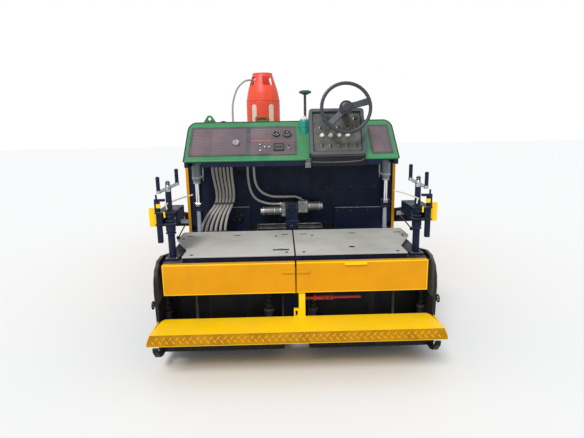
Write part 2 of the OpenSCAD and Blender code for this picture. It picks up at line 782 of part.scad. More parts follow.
// Steering wheel: rim, hub, two broad spokes and a shaft
module steering_wheel() {
    spokes = [15, 225];
    color(black) place() translate([wheel_x, 850, 1633]) rotate([90 - wheel_lean, 0, 0]) {
        rotate_extrude($fn = 64) translate([wheel_r, 0]) circle(rim_r, $fn = 20);
        translate([0, 0, -18]) cylinder(r = 50, h = 36, $fn = 48);
        translate([0, 0, 17]) cylinder(r = 30, h = 8, $fn = 48);
        for (a = spokes) rotate([0, 0, a]) translate([0, -19, -6]) cube([wheel_r, 38, 12]);
        translate([0, 0, -60]) cylinder(r = 12, h = 60, $fn = 40);
    }
}

// Gas bottle: foot ring, body, shoulder and a collar with openings round the valve
module gas_bottle() {
    collar_low = 430;
    window_turn = 27;
    wall = 9;
    inner = [[110, collar_low], [100, 478], [79, bottle_h - 12], [79, bottle_h + 1], [0, bottle_h + 1], [0, collar_low]];
    color([0.93, 0.30, 0.20]) place() translate([bottle_x, bottle_y, hood_z]) {
        difference() {
            rotate_extrude($fn = 96) polygon([[0, 0], [bottle_r - 22, 0], [bottle_r - 5, 14], [bottle_r, 40],
                [bottle_r, 328], [bottle_r - 3, 334], [bottle_r - 3, 344], [bottle_r - 7, 372], [bottle_r - 14, 410],
                [bottle_r - 26, 452], [bottle_r - 41, 500], [bottle_r - 54, 540], [bottle_r - 60, 560],
                [bottle_r - 63, bottle_h], [0, bottle_h]]);
            rotate_extrude($fn = 96) polygon(inner);
            for (a = [0 : 90 : 270]) rotate([0, 0, a + window_turn])
                translate([60, -46, 468]) rotate([90, 0, 90]) linear_extrude(90) round_rect(92, 74, 14);
            // strap slots low on the body
            for (a = [-63, 117]) rotate([0, 0, a]) translate([bottle_r - wall, -40, 150]) cube([30, 80, 26]);
        }
        // valve, its outlet towards the hose
        cylinder(r = 17, h = 488, $fn = 32);
        rotate([0, 0, window_turn]) {
            translate([-46, -13, 496]) cube([62, 26, 28]);
            translate([0, 0, 487]) cylinder(r = 21, h = 46, $fn = 32);
        }
    }
}

// Conveyor: two chains with cross bars round two shafts
function conv_len(r) = 2 * (conv_front_y - conv_rear_y) + 2 * PI * r;
function on_conv(s, r) =
    let (run_len = conv_front_y - conv_rear_y, arc = PI * r)
    s < run_len ? [s, r, 0] :
    s < run_len + arc ? let (a = (s - run_len) / r * 180 / PI) [run_len + r * sin(a), r * cos(a), -a] :
    s < 2 * run_len + arc ? [2 * run_len + arc - s, -r, 180] :
    let (a = (s - 2 * run_len - arc) / r * 180 / PI) [-r * sin(a), -r * cos(a), 180 - a];
module conv_loop(r, x0, x1) {
    rod_x(r, x0, x1, conv_rear_y, conv_z);
    rod_x(r, x0, x1, conv_front_y, conv_z);
    block([x0, conv_rear_y, conv_z - r], [x1, conv_front_y, conv_z + r]);
}
module conveyor() {
    outer_r = conv_r + conv_chain_t;
    step = conv_len(outer_r) / bar_count;
    bar_reach = side_in - 20;
    color(steel) place() {
        for (s = [-1, 1]) sided(s) difference() {
            conv_loop(outer_r, bar_reach - 40, bar_reach - 15);
            conv_loop(conv_r, bar_reach - 41, bar_reach - 14);
        }
        for (i = [0 : bar_count - 1]) {
            p = on_conv((i + 0.4) * step, outer_r - 1);
            translate([0, conv_rear_y + p[0], conv_z + p[1]]) rotate([p[2], 0, 0])
                block([-bar_reach, -18, 0], [bar_reach, 18, bar_h]);
        }
        for (y = [conv_rear_y, conv_front_y]) {
            rod_x(22, -side_in + seat, side_in - seat, y, conv_z);
            for (s = [-1, 1]) sided(s) rod_x(conv_r + 0.5, bar_reach - 36, bar_reach - 19, y, conv_z);
        }
    }
}

// Auger drive: chain case hanging from a bracket on the frame, and its stub shafts
module auger_case() {
    half = 50;
    top_z = 900;
    color(navy) place() {
        rod_x(88, -half, half, auger_y, auger_z);
        block([-half, auger_y - 60, auger_z], [half, auger_y + 60, 760]);
        block([-half, auger_y - 10, 740], [half, bulkhead_y - 14, top_z]);
        block([-110, bulkhead_y - 20, 720], [110, bulkhead_y - seat, top_z - 20]);
        rod_x(20, -half - 60, half + 60, auger_y, auger_z);
        rod_y(22, auger_y - 22, auger_y - 5, 0, 845);
    }
}
module auger_motors() {
    color(steel) place() {
        rod_x(36, -235, -50 - seat, 1225, 826);
        rod_x(30, -250, -234, 1225, 826);
        rod_x(36, 50 + seat, 235, 1225, 862);
        rod_x(30, 234, 252, 1225, 862);
        block([-82, 1180, 786], [-50 - seat, 1270, 900]);
        block([50 + seat, 1180, 815], [130, 1270, 912]);
        // slanted port for the second hose
        translate([105, 1225, 905]) rotate([0, -60, 0]) cylinder(r = 13, h = 30, $fn = 32);
    }
}

// One auger: tube, end flange and a helical flight, wound left or right
module auger(side) {
    start_x = 50 + seat;
    length = auger_reach - start_x;
    turns = (length - 30) / flight_pitch;
    steps = round(turns * 14);
    function edge(i, r, dx) = let (a = 360 * turns * i / steps)
        [start_x + 15 + dx + i / steps * (length - 30 - flight_t), r * cos(a), r * sin(a)];
    inner = auger_tube_r - 3;
    points = [for (i = [0 : steps])
        each [edge(i, inner, 0), edge(i, flight_r, 0), edge(i, flight_r, flight_t), edge(i, inner, flight_t)]];
    walls = [for (i = [0 : steps - 1], k = [0 : 3])
        let (a = 4 * i + k, b = 4 * i + (k + 1) % 4) each [[a, b, b + 4], [a, b + 4, a + 4]]];
    ends = [[3, 2, 1, 0], [4 * steps, 4 * steps + 1, 4 * steps + 2, 4 * steps + 3]];
    color(steel) place() sided(side) difference() {
        union() {
            rod_x(auger_tube_r, start_x, auger_reach, auger_y, auger_z);
            rod_x(auger_tube_r + 16, start_x, start_x + 14, auger_y, auger_z);
            translate([0, auger_y, auger_z]) polyhedron(points, concat(walls, ends));
        }
        rod_x(20 + pin_play, start_x - 1, start_x + 62, auger_y, auger_z);
    }
}
module left_auger() auger(-1);
module right_auger() auger(1);

// Hopper wing: sloping bottom, leaning side wall, rim, front plate and ribs
module wing(side) {
    rear_y = hopper_back_y + 10;
    t = wing_t;
    color(yellow) place() sided(side) {
        // bottom plate and side wall in one folded sheet
        difference() {
            xz([[foot_x, wing_under(foot_x)], [wing_tip_x, wing_tip_z], [wing_top_x, wing_top_z],
                [wing_top_x - t, wing_top_z], [wing_tip_x - t * 0.8, wing_tip_z + t * 1.6],
                [foot_x - t * 0.6, wing_under(foot_x) + t * 1.4]], rear_y, wing_front_y);
            for (y = knuckle_y) rod_y(40, y - 46, y + 46, wing_hinge_x, wing_hinge_z);
            rod_y(wing_pin_r + pin_play, rear_y - 1, wing_front_y + 1, wing_hinge_x, wing_hinge_z);
        }
        // folded rim along the top
        block([wing_top_x - 40, rear_y, wing_top_z - 8], [wing_top_x + 8, wing_front_y, wing_top_z + 12]);
        // front plate
        xz([[foot_x + 16, wing_under(foot_x + 16) + 1], [wing_tip_x, wing_tip_z], [wing_top_x, wing_top_z],
            [wing_top_x - 70, wing_top_z], [foot_x + 16, wing_tip_z - 10]], wing_front_y - 10, wing_front_y);
        // hinge tube, in stretches between the frame's brackets
        hinge = [[rear_y + 10, knuckle_y[0] - 46], [knuckle_y[0] + 46, knuckle_y[1] - 46],
            [knuckle_y[1] + 46, wing_front_y - 20]];
        for (h = hinge) difference() {
            rod_y(20, h[0], h[1], wing_hinge_x, wing_hinge_z);
            rod_y(wing_pin_r + pin_play, h[0] - 1, h[1] + 1, wing_hinge_x, wing_hinge_z);
        }
        // outside ribs
        for (y = [rear_y, wing_front_y - 420, wing_front_y - 12])
            xz([[wing_tip_x - 90, wing_tip_z - 39], [wing_tip_x + 8, wing_tip_z - 22], [wing_top_x + 8, wing_top_z - 4],
                [wing_top_x - 2, wing_top_z], [wing_tip_x - 2, wing_tip_z + 1]], y, y + 12);
        // lugs for the cylinder's eye
        for (d = [-34, 22])
            xz([[wing_eye_x - 44, wing_under(wing_eye_x - 44) + 1], [wing_eye_x + 40, wing_under(wing_eye_x + 40) + 1],
                [wing_eye_x + 22, wing_eye_z - 18], [wing_eye_x - 20, wing_eye_z - 22]], wing_cyl_y + d, wing_cyl_y + d + 12);
    }
}
module left_wing() wing(-1);
module right_wing() wing(1);

// Wing cylinder: foot pivot on the frame, rod eye between the wing's lugs
wing_foot_x = side_out + 62;
wing_foot_z = 300;
wing_eye_x = 704;
wing_eye_z = 682;
wing_cyl_dir = unit([wing_eye_x - wing_foot_x, 0, wing_eye_z - wing_foot_z]);
wing_cyl_len = norm([wing_eye_x - wing_foot_x, wing_eye_z - wing_foot_z]);
module wing_barrel(side) {
    foot = [wing_foot_x, wing_cyl_y, wing_foot_z];
    color(steel) place() sided(side) {
        difference() {
            union() {
                strut(foot + wing_cyl_dir * 48, foot + wing_cyl_dir * 330, 30);
                rod_y(26, wing_cyl_y - 20, wing_cyl_y + 20, wing_foot_x, wing_foot_z);
                strut(foot, foot + wing_cyl_dir * 50, 16);
            }
            strut(foot + wing_cyl_dir * 70, foot + wing_cyl_dir * 331, 14 + 0.3);
            rod_y(12 + pin_play, wing_cyl_y - 21, wing_cyl_y + 21, wing_foot_x, wing_foot_z);
        }
    }
}
module wing_rod(side) {
    foot = [wing_foot_x, wing_cyl_y, wing_foot_z];
    color(chrome) place() sided(side) {
        strut(foot + wing_cyl_dir * 160, foot + wing_cyl_dir * (wing_cyl_len - 14), 14);
        rod_y(22, wing_cyl_y - 16, wing_cyl_y + 16, wing_eye_x, wing_eye_z);
    }
}
module left_wing_barrel() wing_barrel(-1);
module right_wing_barrel() wing_barrel(1);
module left_wing_rod() wing_rod(-1);
module right_wing_rod() wing_rod(1);

// Push beam with its roller brackets and towing jaw
module push_beam() {
    beam_y = push_y - push_r - 90;
    ear_in = 60;
    ear_out = ear_in + 16 + push_len + 12;
    color(navy) place() {
        block([-ear_out - 20, beam_y, push_z - 75], [ear_out + 20, beam_y + 70, push_z + 75]);
        for (s = [-1, 1]) sided(s) {
            block([side_in - 60, frame_front_y, push_z - 70], [side_out, beam_y + 1, push_z + 70]);
            for (x = [ear_in, ear_out]) {
                block([x, beam_y + 69, push_z - 40], [x + 16, push_y, push_z + 40]);
                rod_x(40, x, x + 16, push_y, push_z);
            }
            rod_x(20, ear_in + 15, ear_out + 1, push_y, push_z);
        }
        // towing jaw in the middle
        difference() {
            for (z = [push_z - 60, push_z + 35]) block([-50, beam_y + 69, z], [50, beam_y + 165, z + 25]);
            rod_z(18, push_z - 70, push_z + 70, 0, beam_y + 125);
        }
    }
}
module push_roller(side) {
    color(steel) place() sided(side) difference() {
        union() {
            rod_x(push_r, 82, 82 + push_len, push_y, push_z);
            rod_x(34, 81, 83 + push_len, push_y, push_z);
        }
        rod_x(20 + pin_play, 70, 90 + push_len, push_y, push_z);
        for (x = [81, 82 + push_len - 20]) difference() {
            rod_x(push_r - 12, x, x + 21, push_y, push_z);
            rod_x(34, x - 1, x + 22, push_y, push_z);
        }
    }
}
module left_push_roller() push_roller(-1);
module right_push_roller() push_roller(1);

// Screed lift cylinder, hung inside the console
lift_barrel_low = 1091;
module lift_barrel(side) {
    color(steel) place() sided(side) difference() {
        union() {
            rod_z(barrel_r, lift_barrel_low + 40, lift_top_z - 34, lift_x, lift_y);
            translate([lift_x, lift_y, lift_barrel_low]) cylinder(r1 = barrel_r - 8, r2 = barrel_r, h = 41, $fn = 48);
            rod_x(26, lift_x - 34, lift_x + 34, lift_y, lift_top_z);
            rod_z(16, lift_top_z - 40, lift_top_z, lift_x, lift_y);
            // oil pipe on the inner side
            rod_z(5, lift_barrel_low + 20, lift_barrel_low + 160, lift_x - barrel_r - 16, lift_y);
            for (z = [lift_barrel_low + 50, lift_barrel_low + 150])
                rod_x(6, lift_x - barrel_r - 18, lift_x - barrel_r + 4, lift_y, z);
        }
        rod_z(rod_r + 0.3, lift_barrel_low - 1, lift_top_z - 36, lift_x, lift_y);
        rod_x(12 + pin_play, lift_x - 35, lift_x + 35, lift_y, lift_top_z);
    }
}
module lift_rod(side) {
    color(chrome) place() sided(side) {
        rod_z(rod_r, lift_eye_z, lift_top_z - 145, lift_x, lift_y);
        rod_x(22, lift_x - 16, lift_x + 16, lift_y, lift_eye_z);
    }
}
module left_lift_barrel() lift_barrel(-1);
module right_lift_barrel() lift_barrel(1);
module left_lift_rod() lift_rod(-1);
module right_lift_rod() lift_rod(1);

// Main screed: open box with its sole, a shelf over the extensions and the lift links
module screed_frame() {
    wall = 16;
    shelf_t = 10;
    shelf_rear = deck_rear_y + 8;
    guide_y = [screed_y + 90, screed_front_y - 90];
    guide_z = 400;
    color(navy) place() {
        difference() {
            union() {
                // sole box
                block([-screed_half, screed_y, sole_z], [screed_half, screed_front_y, sole_z + 90]);
                // front and rear walls
                block([-screed_half, screed_y, sole_z + 80], [screed_half, screed_y + wall, shelf_z + 1]);
                yz([[screed_front_y - wall, sole_z + 80], [screed_front_y, sole_z + 80], [screed_front_y, shelf_z + 1],
                    [screed_front_y - wall, shelf_z + 1]], -screed_half, screed_half);
                // end walls and middle wall
                for (x = [-screed_half, -wall / 2, screed_half - wall])
                    block([x, screed_y, sole_z + 80], [x + wall, screed_front_y, shelf_z + 1]);
                // shelf with its folded rear edge
                block([-screed_half, shelf_rear, shelf_z], [screed_half, screed_front_y, shelf_z + shelf_t]);
                block([2 - deck_notch_x, shelf_rear, shelf_z], [deck_notch_x - 2, shelf_rear + 8, deck_z - deck_t]);
                for (x = [-500, -30, 20, 490])
                    block([x, shelf_rear, shelf_z], [x + 10, screed_front_y, deck_z - deck_t]);
                // guide housings
                for (y = guide_y) rod_x(guide_r + 14, -screed_half, screed_half, y, guide_z);
            }
            for (s = [-1, 1], y = guide_y)
                sided(s) rod_x(guide_r + pin_play, 60, screed_half + 1, y, guide_z);
        }
        // lift links
        for (s = [-1, 1]) sided(s) {
            link_low = shelf_z - 110;
            block([lift_x - 22, screed_front_y - 1, link_low], [lift_x + 22, lift_y + 16, link_low + 90]);
            rod_z(15, link_low + 80, lift_eye_z - 40, lift_x, lift_y);
            block([lift_x - 34, lift_y - 18, lift_eye_z - 50], [lift_x + 34, lift_y + 18, lift_eye_z - 36]);
            for (x = [lift_x - 34, lift_x + 22]) {
                block([x, lift_y - 18, lift_eye_z - 50], [x + 12, lift_y + 18, lift_eye_z]);
                rod_x(18, x, x + 12, lift_y, lift_eye_z);
            }
        }
    }
}

// Two deck plates, cut back at the rear corners round the posts
module decks() {
    gap = 5;
    edge = screed_half + 2;
    color(deck_grey) place() for (s = [-1, 1]) sided(s) difference() {
        translate([0, 0, deck_z - deck_t]) linear_extrude(deck_t)
            polygon([[gap, deck_rear_y], [deck_notch_x, deck_rear_y], [deck_notch_x, 500], [edge, 779],
                [edge, deck_front_y - 14], [edge - 14, deck_front_y], [gap, deck_front_y]]);
        // lifting slots near the front edge
        for (x = [s < 0 ? 61 : 76, s < 0 ? 422 : 446, edge - (s < 0 ? 77 : 65)])
            block([x - 25, 858, deck_z - deck_t - 1], [x + 25, 880, deck_z + 1]);
        if (s > 0) rod_z(23, deck_z - deck_t - 1, deck_z + 1, 387, 486);
        if (s < 0) block([37, 440, deck_z - deck_t - 1], [145, 466, deck_z + 1]);
    }
}

arm_line = [[arm_rear_y, arm_mid_z], [tow_y, tow_z]];

// Tow arm: a deep box from the post's bracket down to the tow pin
module tow_arm(side) {
    half = arm_h / 2;
    color(navy) place() sided(side) difference() {
        union() {
            yz(concat([for (p = arm_line) [p[0], p[1] - half]], [for (i = [len(arm_line) - 1 : -1 : 0])
                [arm_line[i][0], arm_line[i][1] + half]]), arm_x, arm_x + arm_t);
            rod_x(60, arm_x, arm_x + arm_t, tow_y, tow_z);
        }
        rod_x(tow_pin_r + pin_play, arm_x - 1, arm_x + arm_t + 1, tow_y, tow_z);
    }
}
module left_tow_arm() tow_arm(-1);
module right_tow_arm() tow_arm(1);

// Crank post: foot, lower tube, bracket to the tow arm and the collar under the crank
collar_z = 997;
module crank_post(side) {
    color(navy) place() sided(side) {
        difference() {
            block([post_x - 45, post_y - 45, shelf_z + 10], [post_x + 45, post_y + 45, shelf_z + 24]);
            for (x = [-32, 32], y = [-32, 32]) rod_z(6, shelf_z, shelf_z + 30, post_x + x, post_y + y);
        }
        difference() {
            union() {
                rod_z(post_r, shelf_z + 20, collar_z - 1, post_x, post_y);
                rod_z(post_r + 8, 860, 900, post_x, post_y);
                rod_z(post_r + 10, collar_z - 45, collar_z, post_x, post_y);
                // cheeks reaching back along the tow arm
                for (z = [arm_mid_z - 40, collar_z - 16])
                    block([post_x - 40, post_y - 45, z], [arm_x - seat, post_y + 240, z + 8]);
                block([post_x + 40, post_y - 45, arm_mid_z - 40], [post_x + 48, post_y + 240, collar_z - 8]);
                yz([[post_y + 20, arm_mid_z - 36], [post_y + 240, arm_mid_z - 36], [post_y + 240, collar_z - 12],
                    [post_y + 20, collar_z - 12]], post_x - 40, post_x - 32);
            }
            rod_z(13 + pin_play, 880, collar_z + 1, post_x, post_y);
        }
        // hanger over the tow arm's end, with its spindle
        block([post_x + 62, post_y - 14, collar_z - 12], [post_x + 92, post_y + 16, collar_z + 72]);
        block([post_x + 27, post_y - 14, collar_z + 58], [post_x + 70, post_y + 16, collar_z + 72]);
        rod_z(6, collar_z + 71, 1098, post_x + 80, post_y);
        // square tube hanging outside the post
        difference() {
            block([post_x + 54, post_y - 22, 785], [post_x + 84, post_y + 8, collar_z - 16]);
            block([post_x + 59, post_y - 17, 784], [post_x + 79, post_y + 3, collar_z - 30]);
        }
    }
}
module left_crank_post() crank_post(-1);
module right_crank_post() crank_post(1);

// Crank: screw, tube, cross bar and two upright grips
module crank(side) {
    half = crank_w / 2;
    swing = side < 0 ? 40 : -57;
    tip = -20 * side;
    color(navy) place() translate([side * post_x, post_y, 0]) {
        translate([0, 0, 900]) cylinder(r = 13, h = 100, $fn = 32);
        translate([0, 0, collar_z + seat]) cylinder(r = crank_r, h = crank_z - collar_z - seat, $fn = 40);
        translate([0, 0, crank_z - 20]) cylinder(r = 15, h = 60, $fn = 6);
        rotate([0, 0, swing]) {
            strut([-half, 0, crank_z - tip], [half, 0, crank_z + tip], 9);
            for (e = [-1, 1]) {
                translate([e * half, 0, crank_z + e * tip]) sphere(11, $fn = 24);
                rod_z(11, crank_z + e * tip, crank_z + e * tip + 95, e * half, 0);
            }
        }
    }
}
module left_crank() crank(-1);
module right_crank() crank(1);

// Footboard: top plate, folded lip, gussets, centre post and the web that carries it
module footboard() {
    rear = screed_half + foot_over;
    front = rear - foot_taper;
    nose = 26;
    color(bright_yellow) place() {
        translate([0, 0, foot_z - foot_t]) linear_extrude(foot_t)
            polygon([[-rear + 14, nose], [-front, foot_d - 24], [-front + 20, foot_d],
                [front - 20, foot_d], [front, foot_d - 24], [rear - 14, nose]]);
        intersection() {
            yz([[nose + 1, foot_z], [0, foot_z - foot_lip], [foot_t, foot_z - foot_lip], [nose + 6, foot_z - foot_t]],
                -rear, rear);
            xz([[-rear, foot_z - foot_lip], [rear, foot_z - foot_lip], [rear, foot_z - foot_lip + 22],
                [rear - 14, foot_z], [-rear + 14, foot_z], [-rear, foot_z - foot_lip + 22]], -1, nose + 10);
        }
        yz([[foot_d - foot_t, foot_z - 1], [foot_d, foot_z - 1], [foot_d, foot_z - 45], [foot_d - foot_t, foot_z - 45]],
            -front + 20, front - 20);
        for (x = [-rear + 15, rear - 15 - foot_t])
            yz([[nose + 2, foot_z - 1], [4, foot_z - foot_lip], [60, foot_z - foot_lip], [foot_d - 30, foot_z - 30],
                [foot_d - 30, foot_z - 1]], x, x + foot_t);
        // centre post and web
        block([16, foot_d - 1, foot_z - 30], [56, foot_d + 30, panel_low_z - run]);
        block([26, foot_d + 20, foot_z + 20], [46, screed_y - seat, panel_low_z - run]);
        block([-25, screed_y - 14, foot_z + 20], [65, screed_y - seat, panel_low_z + 60]);
        difference() {
            block([-16, foot_d - 1, foot_z - 20], [17, foot_d + 20, foot_z + 48]);
            block([-7, foot_d - 2, foot_z + 1], [8, foot_d + 21, foot_z + 38]);
        }
    }
}

// Red hand lever across the right opening
module screed_lever() {
    color("red") place() {
        rod_x(9, 205, 424, 345, 412);
        rod_x(16, 128, 206, 345, 412);
        block([116, 333, 396], [130, 357, 428]);
        block([46 + seat, 335, 404], [118, 355, 420]);
    }
}

// Extension: open screed box with adjusters, guide tubes and a curved end gate
module extension(side) {
    inner = 80;
    rear = panel_y + panel_t;
    front = screed_y - 14;
    beam_low = 560;
    top = shelf_z - run;
    guide_y = [screed_y + 90, screed_front_y - 90];
    adjusters = side < 0 ? [179, screed_half + 2] : [112, screed_half - 9];
    color(black) place() sided(side) {
        // sole box with its heated plate
        block([inner, rear + 24, sole_z - 5], [gate_x + 1, front, sole_z + 75]);
        block([inner, rear + 10, sole_z - 5], [gate_x + 1, rear + 40, sole_z + 30]);
        // front wall and upper beam
        block([inner, front - 14, sole_z + 70], [gate_x + 1, front, top]);
        block([inner, front - 110, beam_low], [gate_x + 1, front, beam_low + 12]);
        block([inner, front - 110, beam_low], [gate_x + 1, front - 98, top]);
        // inner end plate
        block([inner, rear + 110, sole_z + 70], [inner + 12, front, top]);
        // brackets of the rear panel
        for (x = [150, 470, 780]) block([x, rear, beam_low], [x + 12, front - 100, top - 10]);
        // thickness adjusters
        for (x = adjusters) {
            rod_z(14, sole_z + 60, beam_low + 5, x, rear + 130);
            rod_z(x > 500 ? 27 : 34, 300, 316, x, rear + 130);
            rod_z(26, sole_z + 70, 300, x, rear + 130);
            block([x - 20, rear + 110, beam_low - 10], [x + 20, front - 100, beam_low + 10]);
        }
        // guide tubes, with a stop collar on the gate
        for (y = guide_y) rod_x(guide_r, 70, gate_x + 1, y, 400);
        // end gate
        yz([[240, sole_z - 5], [1010, sole_z - 5], [1060, 200], [1060, 420], [700, 640], [430, top + 40], [330, top + 34],
            [262, top - 10], [232, top - 70], [222, 520], [232, 260], [214, 200]], gate_x, gate_x + gate_t);
        yz([[1044, sole_z - 5], [230, sole_z - 5], [176, 108], [128, 162], [124, 190], [136, 192], [143, 170], [184, 122],
            [236, sole_z + 9], [1044, sole_z + 9]], gate_x - 6, gate_x + gate_t + 8);
        // lifting ring at the gate's rear edge, and its stiffening bars
        translate([gate_x + gate_t + 14, 236, 430]) rotate([0, 90, 0]) rotate_extrude($fn = 32) translate([22, 0]) circle(5, $fn = 16);
        block([gate_x + gate_t - 1, 232, 426], [gate_x + gate_t + 14, 262, 434]);
        block([gate_x + gate_t - 1, 300, 560], [gate_x + gate_t + 8, 900, 576]);
        block([gate_x + gate_t - 1, 300, 300], [gate_x + gate_t + 8, 1000, 316]);
        // bolted guide plate outside the gate
        difference() {
            block([gate_x + gate_t - 1, 380, 205], [gate_x + gate_t + 60, 470, 213]);
            for (y = [400, 450]) rod_z(7, 200, 220, gate_x + gate_t + 36, y);
        }
        block([gate_x + gate_t - 1, 380, 213 - 1], [gate_x + gate_t + 8, 470, 285]);
    }
}
module left_extension() extension(-1);
module right_extension() extension(1);

// Yellow rear panel of an extension, with its half of the latch bar
module rear_panel(side) {
    color(yellow) place() sided(side) {
        block([panel_gap, panel_y, panel_low_z], [panel_reach, panel_y + panel_t - seat, panel_top_z]);
        block([panel_gap, panel_y, panel_top_z - panel_t], [panel_reach, panel_y + 40, panel_top_z]);
        block([panel_gap, panel_y - 12, 614], [88, panel_y + 1, 628]);
        if (side > 0) block([306, panel_y - 14, 662], [444, panel_y + 1, 674]);
    }
}
module left_rear_panel() rear_panel(-1);
module right_rear_panel() rear_panel(1);

// Hose routes, hand chosen, in stations, each from its upper port to its lower one
hose_top_z = 1250;
hose_low_z = 656;
screed_hose_d = 22;
hose_count = 6;
function screed_route(k) = [
    [-hose_x + 30 * k, 1190, hose_top_z], [-hose_x + 30 * k, 1190, 1180], [-hose_x + 8 + 29 * k, 1192, 1100],
    [-hose_x + 20 + 28 * k, 1194, 1030], [-hose_x + 26 + 27 * k, 1192, 970], [-hose_x + 20 + 27 * k, 1186, 920],
    [-hose_x - 6 + 28 * k, 1172, 870], [-hose_x - 50 + 32 * k, 1148, 816], [-hose_x - 86 + 36 * k, 1128, 750],
    [-hose_x - 102 + 38 * k, 1116, 700], [-hose_x - 102 + 38 * k, 1116, hose_low_z]];
module screed_hoses() {
    color("dimgray") place() for (k = [0 : hose_count - 1]) hose(screed_route(k), screed_hose_d);
}

auger_hose_routes = [
    [[-350, 1212, hose_top_z], [-350, 1212, 1150], [-345, 1214, 1060], [-325, 1218, 980], [-285, 1224, 925],
        [-220, 1226, 895], [-150, 1226, 884], [-82, 1226, 884]],
    [[-300, 1200, hose_top_z], [-300, 1200, 1195], [-299, 1200, 1140], [-293, 1202, 1080], [-278, 1204, 1034],
        [-252, 1207, 997], [-214, 1210, 969], [-166, 1213, 952], [-112, 1216, 945], [-60, 1219, 943.5],
        [-20, 1222, 943.5], [12, 1224, 943], [38, 1225, 939.6], [61.7, 1225, 930], [79, 1225, 920]]];
module auger_hoses() {
    color("dimgray") place() for (r = auger_hose_routes) hose(r, 20);
}

gas_hose_route = [[-271, 1729.1, 1905], [-289, 1720, 1905], [-316, 1706, 1909], [-350, 1692, 1911],
    [-387, 1682, 1899], [-421, 1676, 1873], [-447, 1672, 1842], [-468, 1670, 1800], [-485, 1670, 1752],
    [-496, 1670, 1700], [-500, 1670, 1640], [-500, 1670, 1570], [-497, 1670, 1490], [-497, 1670, hood_z]];
module gas_hose() color(black) place() hose(gas_hose_route, 16);

main_frame();
bulkhead();
left_track();
right_track();
left_running_gear();
right_running_gear();
hood();
left_side_wall();
right_side_wall();
hopper_wall();
engine_block();
exhaust();
console_frame();
instrument_panel();
control_box();
travel_lever();
gas_bottle();
conveyor();
auger_case();
auger_motors();
screed_hoses();
auger_hoses();
gas_hose();
push_beam();
steering_wheel();
left_wing();
right_wing();
left_wing_barrel();
right_wing_barrel();
left_wing_rod();
right_wing_rod();
left_push_roller();
right_push_roller();
left_auger();
right_auger();
left_engine_door();
right_engine_door();
left_lift_barrel();
right_lift_barrel();
left_lift_rod();
right_lift_rod();
screed_frame();
decks();
left_tow_arm();
right_tow_arm();
left_crank_post();
right_crank_post();
footboard();
screed_lever();
left_extension();
right_extension();
left_rear_panel();
right_rear_panel();
left_crank();
right_crank();
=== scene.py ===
import json
import math
import bmesh
import bpy
import numpy as np
from mathutils import Matrix, Vector


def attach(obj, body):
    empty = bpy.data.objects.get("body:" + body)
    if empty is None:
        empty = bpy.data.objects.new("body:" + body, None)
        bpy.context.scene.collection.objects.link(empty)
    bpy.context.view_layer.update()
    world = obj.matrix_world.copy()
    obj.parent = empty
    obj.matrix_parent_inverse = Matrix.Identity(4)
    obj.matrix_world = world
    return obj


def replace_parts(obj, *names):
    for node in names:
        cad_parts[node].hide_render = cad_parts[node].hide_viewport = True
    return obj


# Small tracked paver, seen from behind. Metres, +Y forward, +Z up, ground at z = 0.
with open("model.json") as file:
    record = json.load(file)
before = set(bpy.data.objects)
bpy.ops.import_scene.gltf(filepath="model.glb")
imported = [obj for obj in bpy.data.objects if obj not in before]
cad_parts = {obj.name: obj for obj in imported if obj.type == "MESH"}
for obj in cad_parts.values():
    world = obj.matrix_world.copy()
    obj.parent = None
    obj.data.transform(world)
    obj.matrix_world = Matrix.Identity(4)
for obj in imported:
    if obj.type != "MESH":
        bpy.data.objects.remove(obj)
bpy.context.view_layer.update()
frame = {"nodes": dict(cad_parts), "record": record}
halfLength = 2.28  # the CAD's stations run forward from the footboard's lip
print("frame loaded:", len(frame["nodes"]), "nodes")


def addObject(name, data):
    item = bpy.data.objects.new(name, data)
    bpy.context.scene.collection.objects.link(item)
    return item


# camera: place in metres, angles in radians, lens in millimetres
view = dict(place=(-0.0718, -4.6664, 1.5192), yaw=0.0202, pitch=0.209, roll=-0.0172, lens=27.36)
yaw, pitch, roll = view["yaw"], view["pitch"], view["roll"]
forward = Vector((math.sin(yaw) * math.cos(pitch), math.cos(yaw) * math.cos(pitch), -math.sin(pitch)))
right = Vector((math.cos(yaw), -math.sin(yaw), 0))
up = right.cross(forward)
axes = (math.cos(roll) * right + math.sin(roll) * up, math.cos(roll) * up - math.sin(roll) * right, -forward)
camera = addObject("viewCamera", bpy.data.cameras.new("viewCamera"))
camera.data.lens = view["lens"]
camera.data.clip_end = 200
camera.matrix_world = Matrix.Translation(view["place"]) @ Matrix(axes).transposed().to_4x4()
bpy.context.scene.camera = camera
print("camera set")


# materials
def setInputs(tree, node, values):  # each value is a number, a colour or another node's output
    for key, value in values.items():
        if isinstance(value, bpy.types.NodeSocket):
            tree.links.new(value, node.inputs[key])
        else:
            node.inputs[key].default_value = value


def addNode(tree, kind, values=None, **settings):
    node = tree.nodes.new("ShaderNode" + kind)
    for name, value in settings.items():
        setattr(node, name, value)
    setInputs(tree, node, values or {})
    return node


def mixed(tree, factor, first, second):
    colours = [(*c, 1) if isinstance(c, tuple) else c for c in (first, second)]
    return addNode(tree, "Mix", {0: factor, 6: colours[0], 7: colours[1]}, data_type="RGBA").outputs[2]


def spread(tree, value, low, high, outLow=0, outHigh=1):
    values = {0: value, 1: low, 2: high, 3: outLow, 4: outHigh}
    return addNode(tree, "MapRange", values, interpolation_type="SMOOTHSTEP").outputs[0]


def noiseOf(tree, place, scale, detail=3, rough=0.55):
    values = {"Vector": place, "Scale": scale, "Detail": detail, "Roughness": rough}
    return addNode(tree, "TexNoise", values).outputs["Fac"]


def startMaterial(name):
    material = bpy.data.materials.new(name)
    material.use_nodes = True
    tree = material.node_tree
    return material, tree, tree.nodes["Principled BSDF"], addNode(tree, "TexCoord").outputs["Object"]


